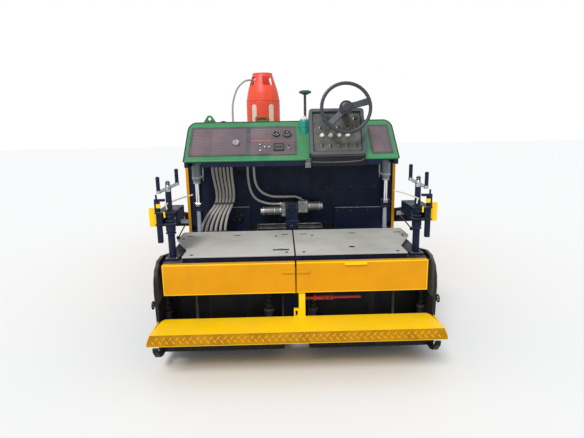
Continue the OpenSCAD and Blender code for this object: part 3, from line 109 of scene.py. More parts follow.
# mottled colour with streaks, dust on what faces up, chips that show what is bare, and fine grain
def makeFinish(name, colour, shade, low, high, metal=0, gloss=0.5, coat=0, mottle=5, streaks=0,
               grime=(0.06, 0.05, 0.04), dust=0, dustColour=(0.33, 0.29, 0.24), chips=0,
               bare=(0.12, 0.09, 0.07), grain=0.12, grainScale=160):
    material, tree, surface, place = startMaterial(name)
    darker = tuple(share * shade for share in colour)
    look = mixed(tree, spread(tree, noiseOf(tree, place, mottle, 4), 0.35, 0.7), colour, darker)
    if streaks:
        upward = addNode(tree, "Mapping", {"Vector": place, "Scale": (1, 1, 0.06)}).outputs[0]
        share = spread(tree, noiseOf(tree, upward, 14, 3, 0.6), 0.52, 0.78, 0, streaks)
        look = mixed(tree, share, look, grime)
    if dust:
        normal = addNode(tree, "NewGeometry").outputs["Normal"]
        facing = spread(tree, addNode(tree, "SeparateXYZ", {0: normal}).outputs[2], 0.3, 0.95)
        patches = spread(tree, noiseOf(tree, place, 9, 6, 0.65), 0.3, 0.75, 0, dust)
        share = addNode(tree, "Math", {0: facing, 1: patches}, operation="MULTIPLY").outputs[0]
        look = mixed(tree, share, look, dustColour)
    if chips:
        worn = spread(tree, noiseOf(tree, place, 38, 7, 0.7), chips, chips + 0.03)
        look = mixed(tree, worn, look, bare)
    if coat:
        setInputs(tree, surface, {"Coat Weight": coat, "Coat Roughness": 0.12})
    rough = spread(tree, noiseOf(tree, place, 22, 4), 0.3, 0.7, low, high)
    grains = noiseOf(tree, place, grainScale)
    bump = addNode(tree, "Bump", {"Strength": grain, "Distance": 0.001, "Height": grains})
    setInputs(tree, surface, {"Base Color": look, "Roughness": rough, "Metallic": metal,
                              "Specular IOR Level": gloss, "Normal": bump.outputs[0]})
    return material


# slot, colour, its share in the darker patches, roughness from and to, and what else the finish has;
# a slot's first finish is also its CAD nodes' finish
finishes = {
    "bodyYellow": ("yellow_paint", (0.71, 0.305, 0), 0.92, 0.3, 0.45, dict(
        gloss=0.18, streaks=0.1, grime=(0.3, 0.14, 0.02), dust=0.15, chips=0.8)),
    "boardYellow": ("bright_yellow_paint", (0.98, 0.6, 0), 0.94, 0.35, 0.5, dict(
        gloss=0.3, dust=0.08, chips=0.84)),
    "darkPaint": ("dark_paint", (0.009, 0.016, 0.042), 0.7, 0.35, 0.55, dict(
        gloss=0.15, streaks=0.15, dust=0.4, grime=(0.06, 0.058, 0.06), chips=0.77, bare=(0.1, 0.075, 0.06))),
    "machineGreen": ("green_paint", (0.03, 0.235, 0.085), 0.8, 0.3, 0.45, dict(
        gloss=0.35, streaks=0.1, dust=0.2, chips=0.79, coat=0.2)),
    "deckGrey": ("grey_paint", (0.5, 0.49, 0.45), 0.78, 0.6, 0.8, dict(
        dust=0.25, dustColour=(0.56, 0.54, 0.48), chips=0.73, bare=(0.22, 0.2, 0.17), mottle=3, grain=0.35)),
    "trackRubber": ("track_rubber", (0.028, 0.027, 0.026), 0.6, 0.75, 0.95, dict(
        dust=0.6, grain=0.4, grainScale=90)),
    "blackPaint": ("black_paint", (0.012, 0.012, 0.014), 0.6, 0.5, 0.75, dict(
        gloss=0.25, streaks=0.25, dust=0.5, grime=(0.1, 0.085, 0.07), chips=0.74, bare=(0.14, 0.09, 0.06))),
    "blackPlastic": ("black_plastic", (0.02, 0.02, 0.022), 0.8, 0.4, 0.55, dict(grain=0.2, grainScale=420)),
    "tealPlastic": ("lever_plastic", (0.02, 0.28, 0.22), 0.85, 0.25, 0.35, dict(dust=0.15)),
    "panelPlate": ("panel_plate", (0.12, 0.088, 0.105), 0.85, 0.35, 0.5, dict(dust=0.12, chips=0.8)),
    "bottleRed": ("bottle_paint", (0.86, 0.075, 0.03), 0.85, 0.3, 0.5, dict(
        streaks=0.15, chips=0.76, bare=(0.25, 0.08, 0.05))),
    "leverRed": ("red_paint", (0.5, 0.035, 0.02), 0.85, 0.35, 0.5, dict(chips=0.75)),
    "plainSteel": ("plain_steel", (0.3, 0.29, 0.28), 0.6, 0.35, 0.6, dict(
        metal=0.8, dust=0.3, chips=0.7, bare=(0.1, 0.055, 0.035))),
    "chromedRod": ("chromed_rod", (0.75, 0.76, 0.78), 0.92, 0.08, 0.2, dict(metal=1, grain=0.03)),
    "hoseRubber": ("hose_rubber", (0.4, 0.37, 0.33), 0.8, 0.25, 0.4, dict(
        dust=0.25, dustColour=(0.5, 0.47, 0.41), grain=0.15)),
    "wornPlastic": ("black_plastic", (0.055, 0.055, 0.065), 0.7, 0.45, 0.65, dict(
        dust=0.3, grain=0.25, grainScale=300)),
    "dustyPlate": ("black_paint", (0.085, 0.085, 0.072), 0.6, 0.5, 0.75, dict(
        streaks=0.25, dust=0.3, chips=0.68, bare=(0.2, 0.17, 0.11), mottle=16)),
    "creamPlastic": ("lever_plastic", (0.72, 0.66, 0.55), 0.85, 0.3, 0.45, dict(dust=0.2)),
    "creamPaint": ("bottle_paint", (0.72, 0.68, 0.55), 0.88, 0.4, 0.6, dict(
        streaks=0.25, grime=(0.3, 0.22, 0.14))),
    "zincSteel": ("plain_steel", (0.55, 0.55, 0.56), 0.75, 0.25, 0.45, dict(
        metal=0.9, dust=0.2, chips=0.78, bare=(0.2, 0.14, 0.1))),
    "paleSteel": ("plain_steel", (0.36, 0.39, 0.43), 0.78, 0.35, 0.5, dict(
        metal=0.25, streaks=0.25, dust=0.2, chips=0.76, bare=(0.14, 0.12, 0.11))),
    "printGrey": ("panel_plate", (0.27, 0.19, 0.2), 0.8, 0.5, 0.6, dict(
        chips=0.6, bare=(0.12, 0.088, 0.105))),
    "printRed": ("panel_plate", (0.4, 0.12, 0.12), 0.8, 0.45, 0.6, dict(
        chips=0.7, bare=(0.12, 0.088, 0.105))),
    "dialWhite": ("panel_plate", (0.62, 0.62, 0.57), 0.9, 0.5, 0.6, {}),
    "dialDark": ("panel_plate", (0.07, 0.08, 0.09), 0.8, 0.3, 0.45, {}),
    "screenGrey": ("panel_plate", (0.11, 0.12, 0.1), 0.8, 0.12, 0.2, dict(grain=0.02)),
    # the lip's face: yellow darkened as painted shade of the sloping lip between its bars, with chips of wear
    "wornYellow": ("bright_yellow_paint", (0.42, 0.2, 0), 0.7, 0.4, 0.6, dict(
        gloss=0.12, dust=0.08, chips=0.72, bare=(0.2, 0.1, 0.02), mottle=14)),
    "barrelGrey": ("black_plastic", (0.165, 0.195, 0.215), 0.78, 0.35, 0.5, dict(
        metal=0.15, streaks=0.25, dust=0.2, chips=0.78, bare=(0.1, 0.09, 0.08))),
    "wheelGrey": ("black_plastic", (0.032, 0.036, 0.046), 0.85, 0.3, 0.45, dict(
        dust=0.15, grain=0.15, grainScale=300)),
    "boxGrey": ("black_paint", (0.054, 0.06, 0.078), 0.8, 0.4, 0.55, dict(
        dust=0.2, chips=0.8, bare=(0.16, 0.14, 0.11))),
    "oldBolt": ("plain_steel", (0.075, 0.07, 0.04), 0.7, 0.5, 0.7, dict(
        metal=0.4, dust=0.2, chips=0.68, bare=(0.2, 0.14, 0.06))),
    "rustyBolt": ("plain_steel", (0.1, 0.075, 0.06), 0.6, 0.6, 0.85, dict(
        metal=0.4, chips=0.62, bare=(0.22, 0.09, 0.03), grain=0.4)),
}
finish, finishSlot, slotFinish = {}, {"clearGlass": "panel_plate"}, {}
for name, (slot, *look, extras) in finishes.items():
    finish[name] = makeFinish(name, *look, **extras)
    finishSlot[name] = slot
    slotFinish.setdefault(slot, name)

# gauge glass: clear, with faint smears in its gloss
finish["clearGlass"], tree, surface, place = startMaterial("clearGlass")
smears = spread(tree, noiseOf(tree, place, 30), 0.4, 0.7, 0.03, 0.14)
setInputs(tree, surface, {"Transmission Weight": 1, "IOR": 1.1, "Roughness": smears})
slotOf = {part["node"]: part["material_slot"] for part in frame["record"]["subparts"]}
bodyOf = {node: body for body, nodes in frame["record"]["behaviour"]["bodies"].items() for node in nodes}
for name, slot in slotOf.items():
    node = frame["nodes"][name]
    node.data.materials.clear()
    node.data.materials.append(finish[slotFinish[slot]])
print("finishes made:", len(finish))

# hoses, along part.scad's routes
screedRoutes = [[
    (-630 + 30 * k, 1190, 1250), (-630 + 30 * k, 1190, 1180), (-622 + 29 * k, 1192, 1100),
    (-610 + 28 * k, 1194, 1030), (-604 + 27 * k, 1192, 970), (-610 + 27 * k, 1186, 920),
    (-636 + 28 * k, 1172, 870), (-680 + 32 * k, 1148, 816), (-716 + 36 * k, 1128, 750),
    (-732 + 38 * k, 1116, 700), (-732 + 38 * k, 1116, 656)] for k in range(6)]
augerRoutes = [
    [(-350, 1212, 1250), (-350, 1212, 1150), (-345, 1214, 1060), (-325, 1218, 980), (-285, 1224, 925),
     (-220, 1226, 895), (-150, 1226, 884), (-82, 1226, 884)],
    [(-300, 1200, 1250), (-300, 1200, 1195), (-299, 1200, 1140), (-293, 1202, 1080), (-278, 1204, 1034),
     (-252, 1207, 997), (-214, 1210, 969), (-166, 1213, 952), (-112, 1216, 945), (-60, 1219, 943.5),
     (-20, 1222, 943.5), (12, 1224, 943), (38, 1225, 939.6), (61.7, 1225, 930), (79, 1225, 920)]]
gasRoute = [
    (-271, 1729.1, 1905), (-289, 1720, 1905), (-316, 1706, 1909), (-350, 1692, 1911), (-387, 1682, 1899),
    (-421, 1676, 1873), (-447, 1672, 1842), (-468, 1670, 1800), (-485, 1670, 1752), (-496, 1670, 1700),
    (-500, 1670, 1640), (-500, 1670, 1570), (-497, 1670, 1490), (-497, 1670, 1395)]
hoseSets = (("screedHose", "screed_hoses", screedRoutes, 22), ("augerHose", "auger_hoses", augerRoutes, 20),
            ("gasHose", "gas_hose", [gasRoute], 16))  # piece, node, routes, diameter


# a point between each two of the route: nine sixteenths of both, less a sixteenth of the two beyond them
def smoothed(route):
    route = np.array(route, float)
    row = np.arange(len(route) - 1)
    outer = route[np.maximum(row - 1, 0)] + route[np.minimum(row + 2, len(route) - 1)]
    middle = (9 * (route[:-1] + route[1:]) - outer) / 16
    line = np.stack([route[:-1], middle], 1).reshape(-1, 3)
    return np.concatenate([line, route[-1:]]) / 1000 + (0, -halfLength, 0)


def makeHose(name, route, diameter):
    line = smoothed(route)
    curve = bpy.data.curves.new(name, "CURVE")
    curve.dimensions = "3D"
    curve.bevel_depth = 1  # times each point's own radius
    curve.bevel_resolution = 5
    curve.use_fill_caps = True
    curve.materials.append(finish["hoseRubber"])
    spline = curve.splines.new("POLY")
    spline.points.add(len(line) - 1)
    for point, place in zip(spline.points, line):
        point.co = (*place, 1)
        point.radius = diameter / 2000
    hose = addObject(name, curve)
    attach(hose, "tractor")
    return hose


for setName, nodeName, routes, diameter in hoseSets:
    for number, route in enumerate(routes, 1):
        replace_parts(makeHose(setName + str(number), route, diameter), nodeName)
    print(setName, "made:", len(routes))

# local frames, in the CAD's millimetres and stations
ground = Matrix.Translation((0, -halfLength, 0)) @ Matrix.Scale(0.001, 4)


def frameAt(x, y, z, tip=0, turn=0, base=ground):  # turned about its z, then tipped about its x
    place = base @ Matrix.Translation((x, y, z)) @ Matrix.Rotation(math.radians(turn), 4, "Z")
    return place @ Matrix.Rotation(math.radians(tip), 4, "X")


console = dict(y=893, z=1272, run=304, rise=274)  # foot and slope of its sloping face
slope = math.degrees(math.atan2(console["rise"], console["run"]))
consoleFace = frameAt(0, console["y"], console["z"], slope)
boxFace = frameAt(134, 850, 1305, 65.5)
wheelFace = frameAt(392, 850, 1633, 78)


# shapes: an array of points and a list of faces, in millimetres
# faces between each two rings of points, and one over each end unless the last ring meets the first
def ringFaces(rows, sides, closed=False):
    row = np.arange(rows if closed else rows - 1)[:, None] * sides
    near, far = np.arange(sides), (np.arange(sides) + 1) % sides
    above = (row + sides) % (rows * sides)
    faces = np.stack([row + near, row + far, above + far, above + near], -1).reshape(-1, 4).tolist()
    if not closed:
        faces += [list(range(sides))[::-1], list(range((rows - 1) * sides, rows * sides))]
    return faces


# turned about z from (radius, height) pairs, upwards on the outside: across is the radius times the cosine
# and the sine of even angles, with a wave on the radius; a ring closes the profile on itself
def turned(profile, sides=32, ring=False, wave=0, waves=0):
    radius, height = np.array(profile, float).T
    angle = np.arange(sides) * 2 * math.pi / sides
    reach = radius[:, None] + wave * np.cos(waves * angle)
    heights = np.repeat(height[:, None], sides, 1)
    points = np.stack([reach * np.cos(angle), reach * np.sin(angle), heights], -1)
    return points.reshape(-1, 3), ringFaces(len(profile), sides, ring)


# a round rod's section, for a ring: its middle plus wide times the cosine and tall times the sine
def oval(radius, height, wide, tall, count):
    angle = np.linspace(-math.pi, math.pi, count + 1)[:-1]
    return np.column_stack([radius + wide * np.cos(angle), height + tall * np.sin(angle)])


# a round bar: circles square to the path, each turned as the one before it, so that it doesn't twist
def tube(path, radius, sides=12):
    path = np.array(path, float)
    heading = np.gradient(path, axis=0)
    heading /= np.linalg.norm(heading, axis=1)[:, None]
    across = np.cross(heading[0], (0.31, 0.22, 0.92))
    angle = (np.arange(sides) * 2 * math.pi / sides)[:, None]
    rings = []
    for point, ahead in zip(path, heading):
        across = across - np.dot(across, ahead) * ahead
        across /= np.linalg.norm(across)
        rings.append(point + radius * (np.cos(angle) * across + np.sin(angle) * np.cross(ahead, across)))
    return np.concatenate(rings), ringFaces(len(path), sides)


# a rectangle's outline, anticlockwise: a quarter of a circle about a point inside each corner
def rounded(x0, y0, x1, y1, corner=0):
    if corner == 0:
        return [(x0, y0), (x1, y0), (x1, y1), (x0, y1)]
    left, right, low, high = x0 + corner, x1 - corner, y0 + corner, y1 - corner
    middles = np.array([(right, low), (right, high), (left, high), (left, low)])
    angle = np.radians(90 * np.arange(-1, 3)[:, None] + 18 * np.arange(6))
    arcs = corner * np.stack([np.cos(angle), np.sin(angle)], -1)
    return (middles[:, None] + arcs).reshape(-1, 2)


def stacked(lines, closed=False):  # each outline's points at its height, ring after ring
    rows = [np.column_stack([outline, np.full(len(outline), float(height))]) for outline, height in lines]
    return np.concatenate(rows), ringFaces(len(rows), len(rows[0]), closed)


def slab(outline, low, high):  # an outline at two heights
    return stacked([(outline, low), (outline, high)])


def plate(x0, y0, x1, y1, corner, low, high):  # a rounded rectangle at two heights
    return slab(rounded(x0, y0, x1, y1, corner), low, high)


# a flat frame: up the outer outline, over to one that is smaller by its width, and down that
def frameOf(x0, y0, x1, y1, corner, wide, low, high):
    outer = rounded(x0, y0, x1, y1, corner)
    inner = rounded(x0 + wide, y0 + wide, x1 - wide, y1 - wide, max(corner - wide, 1))
    return stacked([(outer, low), (outer, high), (inner, high), (inner, low)], True)


def joined(shapes):  # the points one after another, and the faces counted on from them
    if isinstance(shapes, tuple):
        return shapes
    faces, start = [], 0
    for shape in shapes:
        faces += [[start + k for k in face] for face in shape[1]]
        start += len(shape[0])
    return np.concatenate([shape[0] for shape in shapes]), faces


def moved(shapes, x=0, y=0, z=0, tip=0, turn=0):  # each point turned, then shifted
    points, faces = joined(shapes)
    matrix = np.array(frameAt(x, y, z, tip, turn, Matrix.Identity(4)))
    return points @ matrix[:3, :3].T + matrix[:3, 3], faces


def atAll(shape, places, z=0, tip=0):  # a list of copies at (x, y) places
    return [moved(shape, x, y, z, tip) for x, y in places]


def atRear(shape, y, places):  # a list of copies that face the rear, at (x, z) places
    return [moved(shape, x, y, z, 90) for x, z in places]


def upright(x0, z0, x1, z1, corner, y, deep):  # a plate that faces the rear
    return moved(plate(x0, z0, x1, z1, corner, 0, deep), 0, y, 0, 90)


def sidePlate(outline, x, deep):  # a slab of stations and heights, its depth running outward from x
    points, faces = slab(outline, 0, deep)
    return points[:, [2, 0, 1]] + (x, 0, 0), faces


def crossways(shape, x=0, y=0, z=0):  # what is about z is laid along +x: z, y and -x, then the place
    return shape[0][:, [2, 1, 0]] * (1, 1, -1) + (x, y, z), shape[1]


def along(shape, start, toward):  # a turned shape, laid from one point towards another
    start, toward = Vector(start), Vector(toward)
    matrix = np.array((toward - start).to_track_quat("Z", "Y").to_matrix())
    return shape[0] @ matrix.T + np.array(start), shape[1]


def mirrored(shapes):  # x changes its sign, and each face runs the other way round
    points, faces = joined(shapes)
    return points * (-1, 1, 1), [face[::-1] for face in faces]


def onSide(side, shapes):  # the right side's shapes, or their mirror image on the left
    return mirrored(shapes) if side == "left" else joined(shapes)


def bolt(radius, height):  # a hexagon head on its washer
    head = [(radius, 0.9), (radius, height), (radius * 0.86, height + radius * 0.12)]
    return joined([turned([(radius * 1.25, 0), (radius * 1.25, 1.5)], 20), turned(head, 6)])


def finishPiece(name, mesh, look, bevel, segments, body):
    mesh.polygons.foreach_set("use_smooth", np.full(len(mesh.polygons), True))
    mesh.set_sharp_from_angle(angle=math.radians(38))
    mesh.materials.clear()
    mesh.materials.append(finish[look])
    piece = addObject(name, mesh)
    if bevel:
        edge = piece.modifiers.new("edge", "BEVEL")
        edge.width = bevel / 1000
        edge.segments = segments
        edge.limit_method = "ANGLE"
        edge.angle_limit = math.radians(40)
        edge.harden_normals = True
    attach(piece, body)
    return piece


# one object from shapes in a local frame, in the given finish
def add(name, shapes, look, base=ground, bevel=0, segments=2, body="tractor"):
    points, faces = joined(shapes)
    matrix = np.array(base)
    mesh = bpy.data.meshes.new(name)
    mesh.from_pydata((points @ matrix[:3, :3].T + matrix[:3, 3]).tolist(), [], faces)
    return finishPiece(name, mesh, look, bevel, segments, body)


def addPair(name, shapes, look, bevel=0, body="tractor"):  # {} in the body is the side
    for side in ("left", "right"):
        add(side + name, onSide(side, shapes), look, ground, bevel, 2, body.format(side))


def softNode(name, width):  # the CAD node again, with its edges rounded
    mesh = frame["nodes"][name].data.copy()
    shape = bmesh.new()
    shape.from_mesh(mesh)
    bmesh.ops.remove_doubles(shape, verts=shape.verts, dist=1e-5)
    bmesh.ops.dissolve_limit(shape, angle_limit=math.radians(1), verts=shape.verts, edges=shape.edges)
    shape.to_mesh(mesh)
    shape.free()
    look = otherLooks.get(name, slotFinish[slotOf[name]])
    piece = finishPiece(name.replace("_", "-") + "-soft", mesh, look, width, 2, bodyOf[name])
    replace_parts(piece, name)


# CAD nodes with rounded edges: edge width in millimetres, and the pairs' for both sides
softNodes = {
    "main_frame": 3, "bulkhead": 1.5, "hood": 3, "hopper_wall": 2, "console_frame": 4, "footboard": 2,
    "decks": 2, "screed_frame": 2, "push_beam": 4, "auger_case": 5, "auger_motors": 4, "engine_block": 12,
    "exhaust": 1.5, "control_box": 5, "conveyor": 1.5}
softPairs = {
    "side_wall": 2, "engine_door": 2.5, "rear_panel": 2, "crank_post": 2, "tow_arm": 4, "wing": 2,
    "extension": 2, "running_gear": 3, "lift_barrel": 2, "wing_barrel": 2, "push_roller": 3, "track": 2}
otherLooks = {"control_box": "boxGrey", "left_lift_barrel": "barrelGrey", "right_lift_barrel": "barrelGrey"}
for name, width in softPairs.items():
    softNodes.update({"left_" + name: width, "right_" + name: width})
for name, width in softNodes.items():
    softNode(name, width)
print("edges rounded:", len(softNodes))

# steering wheel: rim, hub rings, two spokes and the ribs on one of them
wheel = dict(radius=174, rim=12.6, hub=50, spokes=(15, 225), grips=40)
radius, hub = wheel["radius"], wheel["hub"]
rim = turned(oval(radius, 0, wheel["rim"], wheel["rim"], 18), 160, True, 0.5, wheel["grips"])
hubRings = [(12, -60), (12, -20), (34, -18), (44, -14), (hub, -6), (hub, 10), (46, 15), (43, 15), (42, 12),
            (38, 12), (36, 17), (31, 19), (30, 24), (24, 27), (18, 27), (16, 24.5), (3, 24.5)]
spoke = slab([(30, -27), (70, -22), (radius - 3, -25), (radius - 3, 25), (70, 22), (30, 27)], -9, 6)
spokes = [moved(spoke, turn=angle) for angle in wheel["spokes"]]
# the ribs are a lighter grey than the wheel: painted highlight on their ridges
ribs = moved([plate(60, 9 * k - 17.5, 160, 9 * k - 12, 2.2, 5, 9) for k in range(4)], turn=wheel["spokes"][1])
add("steeringRim", rim, "wheelGrey", wheelFace, body="steering")
add("steeringHub", turned(hubRings, 56), "wheelGrey", wheelFace, body="steering")
add("steeringSpokes", spokes, "wheelGrey", wheelFace, 4, 3, "steering")
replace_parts(add("steeringRibs", ribs, "barrelGrey", wheelFace, 0.8, body="steering"), "steering_wheel")
print("steering wheel made")

# control box: inner plate, screws, knobs on collars, and the trough's face, bar and clamp below
controls = dict(
    plate=(25, 26, 384, 331), floor=-13, rows=(  # up, first across, count, step, radius, top, look
        (280, 130, 2, 215, 16.5, 12, "blackPlastic"), (215, 86, 5, 65, 11, 3, "blackPlastic"),
        (150, 92, 4, 63, 14.5, 8, "creamPlastic"), (75, 93, 5, 62, 10, 6, "blackPlastic")),
    bar=((150, 850, 1254), (160, 850, 1250), (300, 850, 1247), (430, 850, 1249), (508, 850, 1256),
         (524, 853, 1270)))
x0, y0, x1, y1 = controls["plate"]
floor = controls["floor"]
add("controlPlate", plate(x0, y0, x1, y1, 9, floor - 0.6, floor), "dustyPlate", boxFace)
rim = frameOf(x0 - 1.5, y0 - 1.5, x1 + 1.5, y1 + 1.5, 11, 7, floor - 0.8, floor + 2.2)
add("controlRim", rim, "blackPaint", boxFace, 0.8)
screw = turned([(4.5, 0), (4.5, 1.6), (3, 2.4)], 16)
places = [(x, y) for x in (x0 + 12, (x0 + x1) / 2, x1 - 12) for y in (y0 + 12, y1 - 12)]
add("controlScrews", atAll(screw, places, floor), "oldBolt", boxFace)
collars = []
for row, (y, first, count, step, radius, top, look) in enumerate(controls["rows"], 1):
    height = top - floor
    collar = [(radius + 3.5, 0), (radius + 3.5, 1.2), (radius + 1, 2.4)]
    cap = [(radius * 0.72, 0), (radius * 0.72, height * 0.3), (radius, height * 0.42),
           (radius, height * 0.86), (radius * 0.82, height), (radius * 0.2, height + 0.8)]
    places = [(first + k * step, y) for k in range(count)]
    collars += atAll(turned(collar, 28), places, floor)
    caps = atAll(turned(cap, 28, wave=0.35, waves=14), places, floor)
    add("controlKnobs" + str(row), caps, look, boxFace)
add("controlCollars", collars, "plainSteel", boxFace)
add("troughFace", upright(140, 1222, 533, 1291, 4, 856.5, 3), "blackPaint", bevel=1)
add("troughBar", tube(controls["bar"], 7, 14), "wornPlastic")
clamp = [plate(-20, -20, 20, 20, 5, 0, 7), turned([(13, 0), (13, 9), (10, 12)], 28)]
clamp = atRear(clamp, 852, [(117, 1232)]) + atRear(bolt(6, 6), 851, ((104, 1246), (130, 1219)))
add("troughClamp", clamp, "plainSteel", bevel=1)
print("controls made")

# instrument plates: frames, blocks of print without words, gauges, toggles, key and display
panel = dict(
    plates=((-764, -326), (-322, 40), (600, 757)), low=45, high=350, top=3,
    columns=((-744, 16, 118), (-596, 16, 100), (616, 14, 104)),  # print: left edge, step up, width
    bars=((-312, 226, -158, 230), (-312, 192, -158, 204), (-312, 138, -268, 141), (-312, 108, -268, 111),
          (-312, 80, -268, 83), (-150, 190, 26, 193), (-150, 60, 26, 63)),
    gauges=(  # across, up, radius, bezel, dial, height over the plate
        (-416, 170, 26, "zincSteel", "dialWhite", 3), (-112, 262, 26, "oldBolt", "dialDark", 0),
        (-27, 260, 32, "oldBolt", "dialDark", 0)),
    toggles=((-233, 151), (-197, 126), (-165, 126), (-230, 88)), key=(-16, 114), display=(-133, 85, -54, 159))
low, high, top = panel["low"], panel["high"], panel["top"]


def onPanel(name, shapes, look, bevel=0):
    add(name, shapes, look, consoleFace, bevel)


def printed(x0, y0, x1, y1):
    return plate(x0, y0, x1, y1, 0, top - 0.5, top + 0.25)


grey, red = [], [printed(*bar) for bar in panel["bars"]]
for left, step, wide in panel["columns"]:
    for k, y in enumerate(range(64, 329, step)):
        length = wide * (0.55 + 0.4 * math.sin(1.7 * k + left) ** 2)
        (red if k % 5 == 0 else grey).append(printed(left, y, left + length, y + 3.4))
grey += [printed(-308, 246 + 18 * k, -190 - 14 * (k % 2), 250 + 18 * k) for k in range(5)]
frames = [frameOf(x0 - 2, low - 2, x1 + 2, high + 2, 7, 17, 0, top + 1.4) for x0, x1 in panel["plates"]]
places = [(x, y) for x0, x1 in panel["plates"] for x in (x0 + 9, x1 - 9) for y in (low + 9, high - 9)]
screw = turned([(4.5, 0), (4.5, 1.8), (3, 2.6)], 16)
onPanel("plateFrames", frames, "wornPlastic", 0.6)
onPanel("plateLines", grey, "printGrey")
onPanel("plateBars", red, "printRed")
onPanel("plateScrews", atAll(screw, places, top), "oldBolt")
needles, ticks, glasses = [], [], []
for number, (x, y, radius, bezel, dial, lift) in enumerate(panel["gauges"], 1):
    place = (x, y, top + lift)
    for name, look, sides, ring, profile in (
            ("gaugeBezel", bezel, 48, True, [
                (radius - 5, 13.5), (radius - 5, 2), (radius + 3, 0), (radius + 3, 6), (radius + 1, 14),
                (radius - 1, 16), (radius - 3.6, 16)]),
            ("gaugeFace", dial, 40, False, [(radius - 4.5, 12), (radius - 4.5, 13.6)]),
            ("gaugeRing", "paleSteel", 40, True, [
                (radius - 3.4, 13), (radius - 2.2, 16.6), (radius - 0.6, 16.6), (radius + 1, 13)])):
        onPanel(name + str(number), moved(turned(profile, sides, ring), *place), look)
    glass = turned([(radius - 4, 14.6), (radius - 4, 15), (radius * 0.5, 16.2), (2, 16.8)], 40)
    tick = plate(-0.6, radius - 10, 0.6, radius - 6.5, 0, 13.5, 13.9)
    hand = slab([(-1.3, -5), (1.3, -5), (0.5, radius - 9), (-0.5, radius - 9)], 14, 14.5)
    glasses.append(moved(glass, *place))
    ticks += [moved(tick, *place, turn=30 * k - 120) for k in range(9)]
    needles.append(moved([hand, turned([(3, 13.6), (3, 15)], 16)], *place, turn=102 - 40 * number))
onPanel("gaugeTicks", ticks, "oldBolt")
onPanel("gaugeNeedles", needles, "printRed")
onPanel("gaugeGlass", glasses, "clearGlass")
nut = turned([(10.5, 0), (10.5, 3), (9, 10.5), (7, 11.5)], 24)
stick = turned([(2.6, 6), (4, 24), (4.6, 28), (3, 31)], 16)
onPanel("toggleNuts", atAll(nut, panel["toggles"], top), "zincSteel")
onPanel("toggleSticks", atAll(stick, panel["toggles"], top, -14), "zincSteel")
lock = turned([(13, 0), (13, 5), (11, 9.5), (8, 10.2)], 32)
onPanel("keyLock", moved(lock, *panel["key"], top), "zincSteel")
grip = plate(-1.5, -12, 1.5, 12, 1, 10, 30)
onPanel("keyGrip", moved(grip, *panel["key"], top, turn=24), "blackPlastic", 0.6)
x0, y0, x1, y1 = panel["display"]
marks = [plate(x0 + 16 + 17 * k, y0 + 22, x0 + 28 + 17 * k, y1 - 24, 0, top + 6, top + 6.3) for k in range(3)]
onPanel("displayFrame", frameOf(x0, y0, x1, y1, 6, 9, top - 1, top + 9), "blackPlastic", 1.2)
onPanel("displayGlass", plate(x0 + 8, y0 + 8, x1 - 8, y1 - 8, 0, top + 4, top + 6), "screenGrey")
onPanel("displayMarks", marks, "blackPlastic")
print("instrument plates made")

# console: dark edging round its face, and a small cap on top
edging = dict(half=793.5, corner=60, low=1268, top=1546, radius=4.5, cap=(-531, 1236))
half, corner, top = edging["half"], edging["corner"], edging["top"]
# up one side, a quarter circle at the corner, along the top, and the same mirrored, all on the sloping face
angle = np.linspace(0, math.pi / 2, 9)
across = np.concatenate([[-half], corner - half - corner * np.cos(angle), [(corner - half) / 2]])
heights = np.concatenate([[edging["low"]], top - corner + corner * np.sin(angle), [top]])
across, heights = np.append(across, -across[::-1]), np.append(heights, heights[::-1])
stations = console["y"] + (heights - console["z"]) * console["run"] / console["rise"]
line = np.column_stack([across, stations, heights])
cap = turned([(20, 1545), (22, 1547), (22, 1552), (15, 1557), (3, 1558.5)], 32)
add("consoleEdging", tube(line, edging["radius"], 10), "blackPlastic")
add("consoleCap", moved(cap, *edging["cap"]), "blackPlastic")
print("console edging made")

# footboard: a darker face, painted shade with chips of wear, and herringbone tread on the sloping lip
tread = dict(pitch=40, long=44, wide=14, high=3, reach=882, bars=866, low=3, top=66)
pitch, half, side, reach = tread["pitch"], tread["long"] / 2, tread["wide"] / 2, tread["reach"]
lip = frameAt(0, 0, 268, math.degrees(math.atan2(62, 27)))
face = [(-reach, 2.5), (reach, 2.5), (reach, 24), (reach - 14, 65.5), (14 - reach, 65.5), (-reach, 24)]
lens = np.array([(-half, 0), (0, -side), (half, 0), (0, side)])
bar = stacked([(lens, -0.3), (lens * 0.55, tread["high"])])
bars = []
for row, y in enumerate(np.arange(tread["low"] + pitch / 2, tread["top"] - pitch / 3, pitch / 2)):
    first = pitch / 2 * (1 + row % 2) - tread["bars"]
    for x in np.arange(first, tread["bars"] - pitch / 2, pitch):
        bars.append(moved(bar, x, y, turn=45 if row % 2 else -45))
add("treadFace", slab(face, -0.3, 0.8), "wornYellow", lip, body="screed")
# the bars take the body's deeper yellow, darker than the board's top: painted shade of the sloping lip
add("treadLip", bars, "bodyYellow", lip, body="screed")
print("tread made")

# decks: screws, lifting slots' rims, hatch, and black linings in the openings, painted shade of their depth
deckBits = dict(
    top=710, slots=(-775, -422, -61, 76, 446, 787), slotY=869, hatch=(-145, 470, -37, 700), hole=(387, 486),
    screws=((-808, 793), (-666, 371), (58, 391), (666, 366), (803, 752), (-128, 822), (-54, 391), (140, 822),
            (808, 793)))
top, hole = deckBits["top"], (*deckBits["hole"], deckBits["top"])


def onDeck(name, shapes, look, bevel=0):
    add(name, shapes, look, ground, bevel, body="screed")


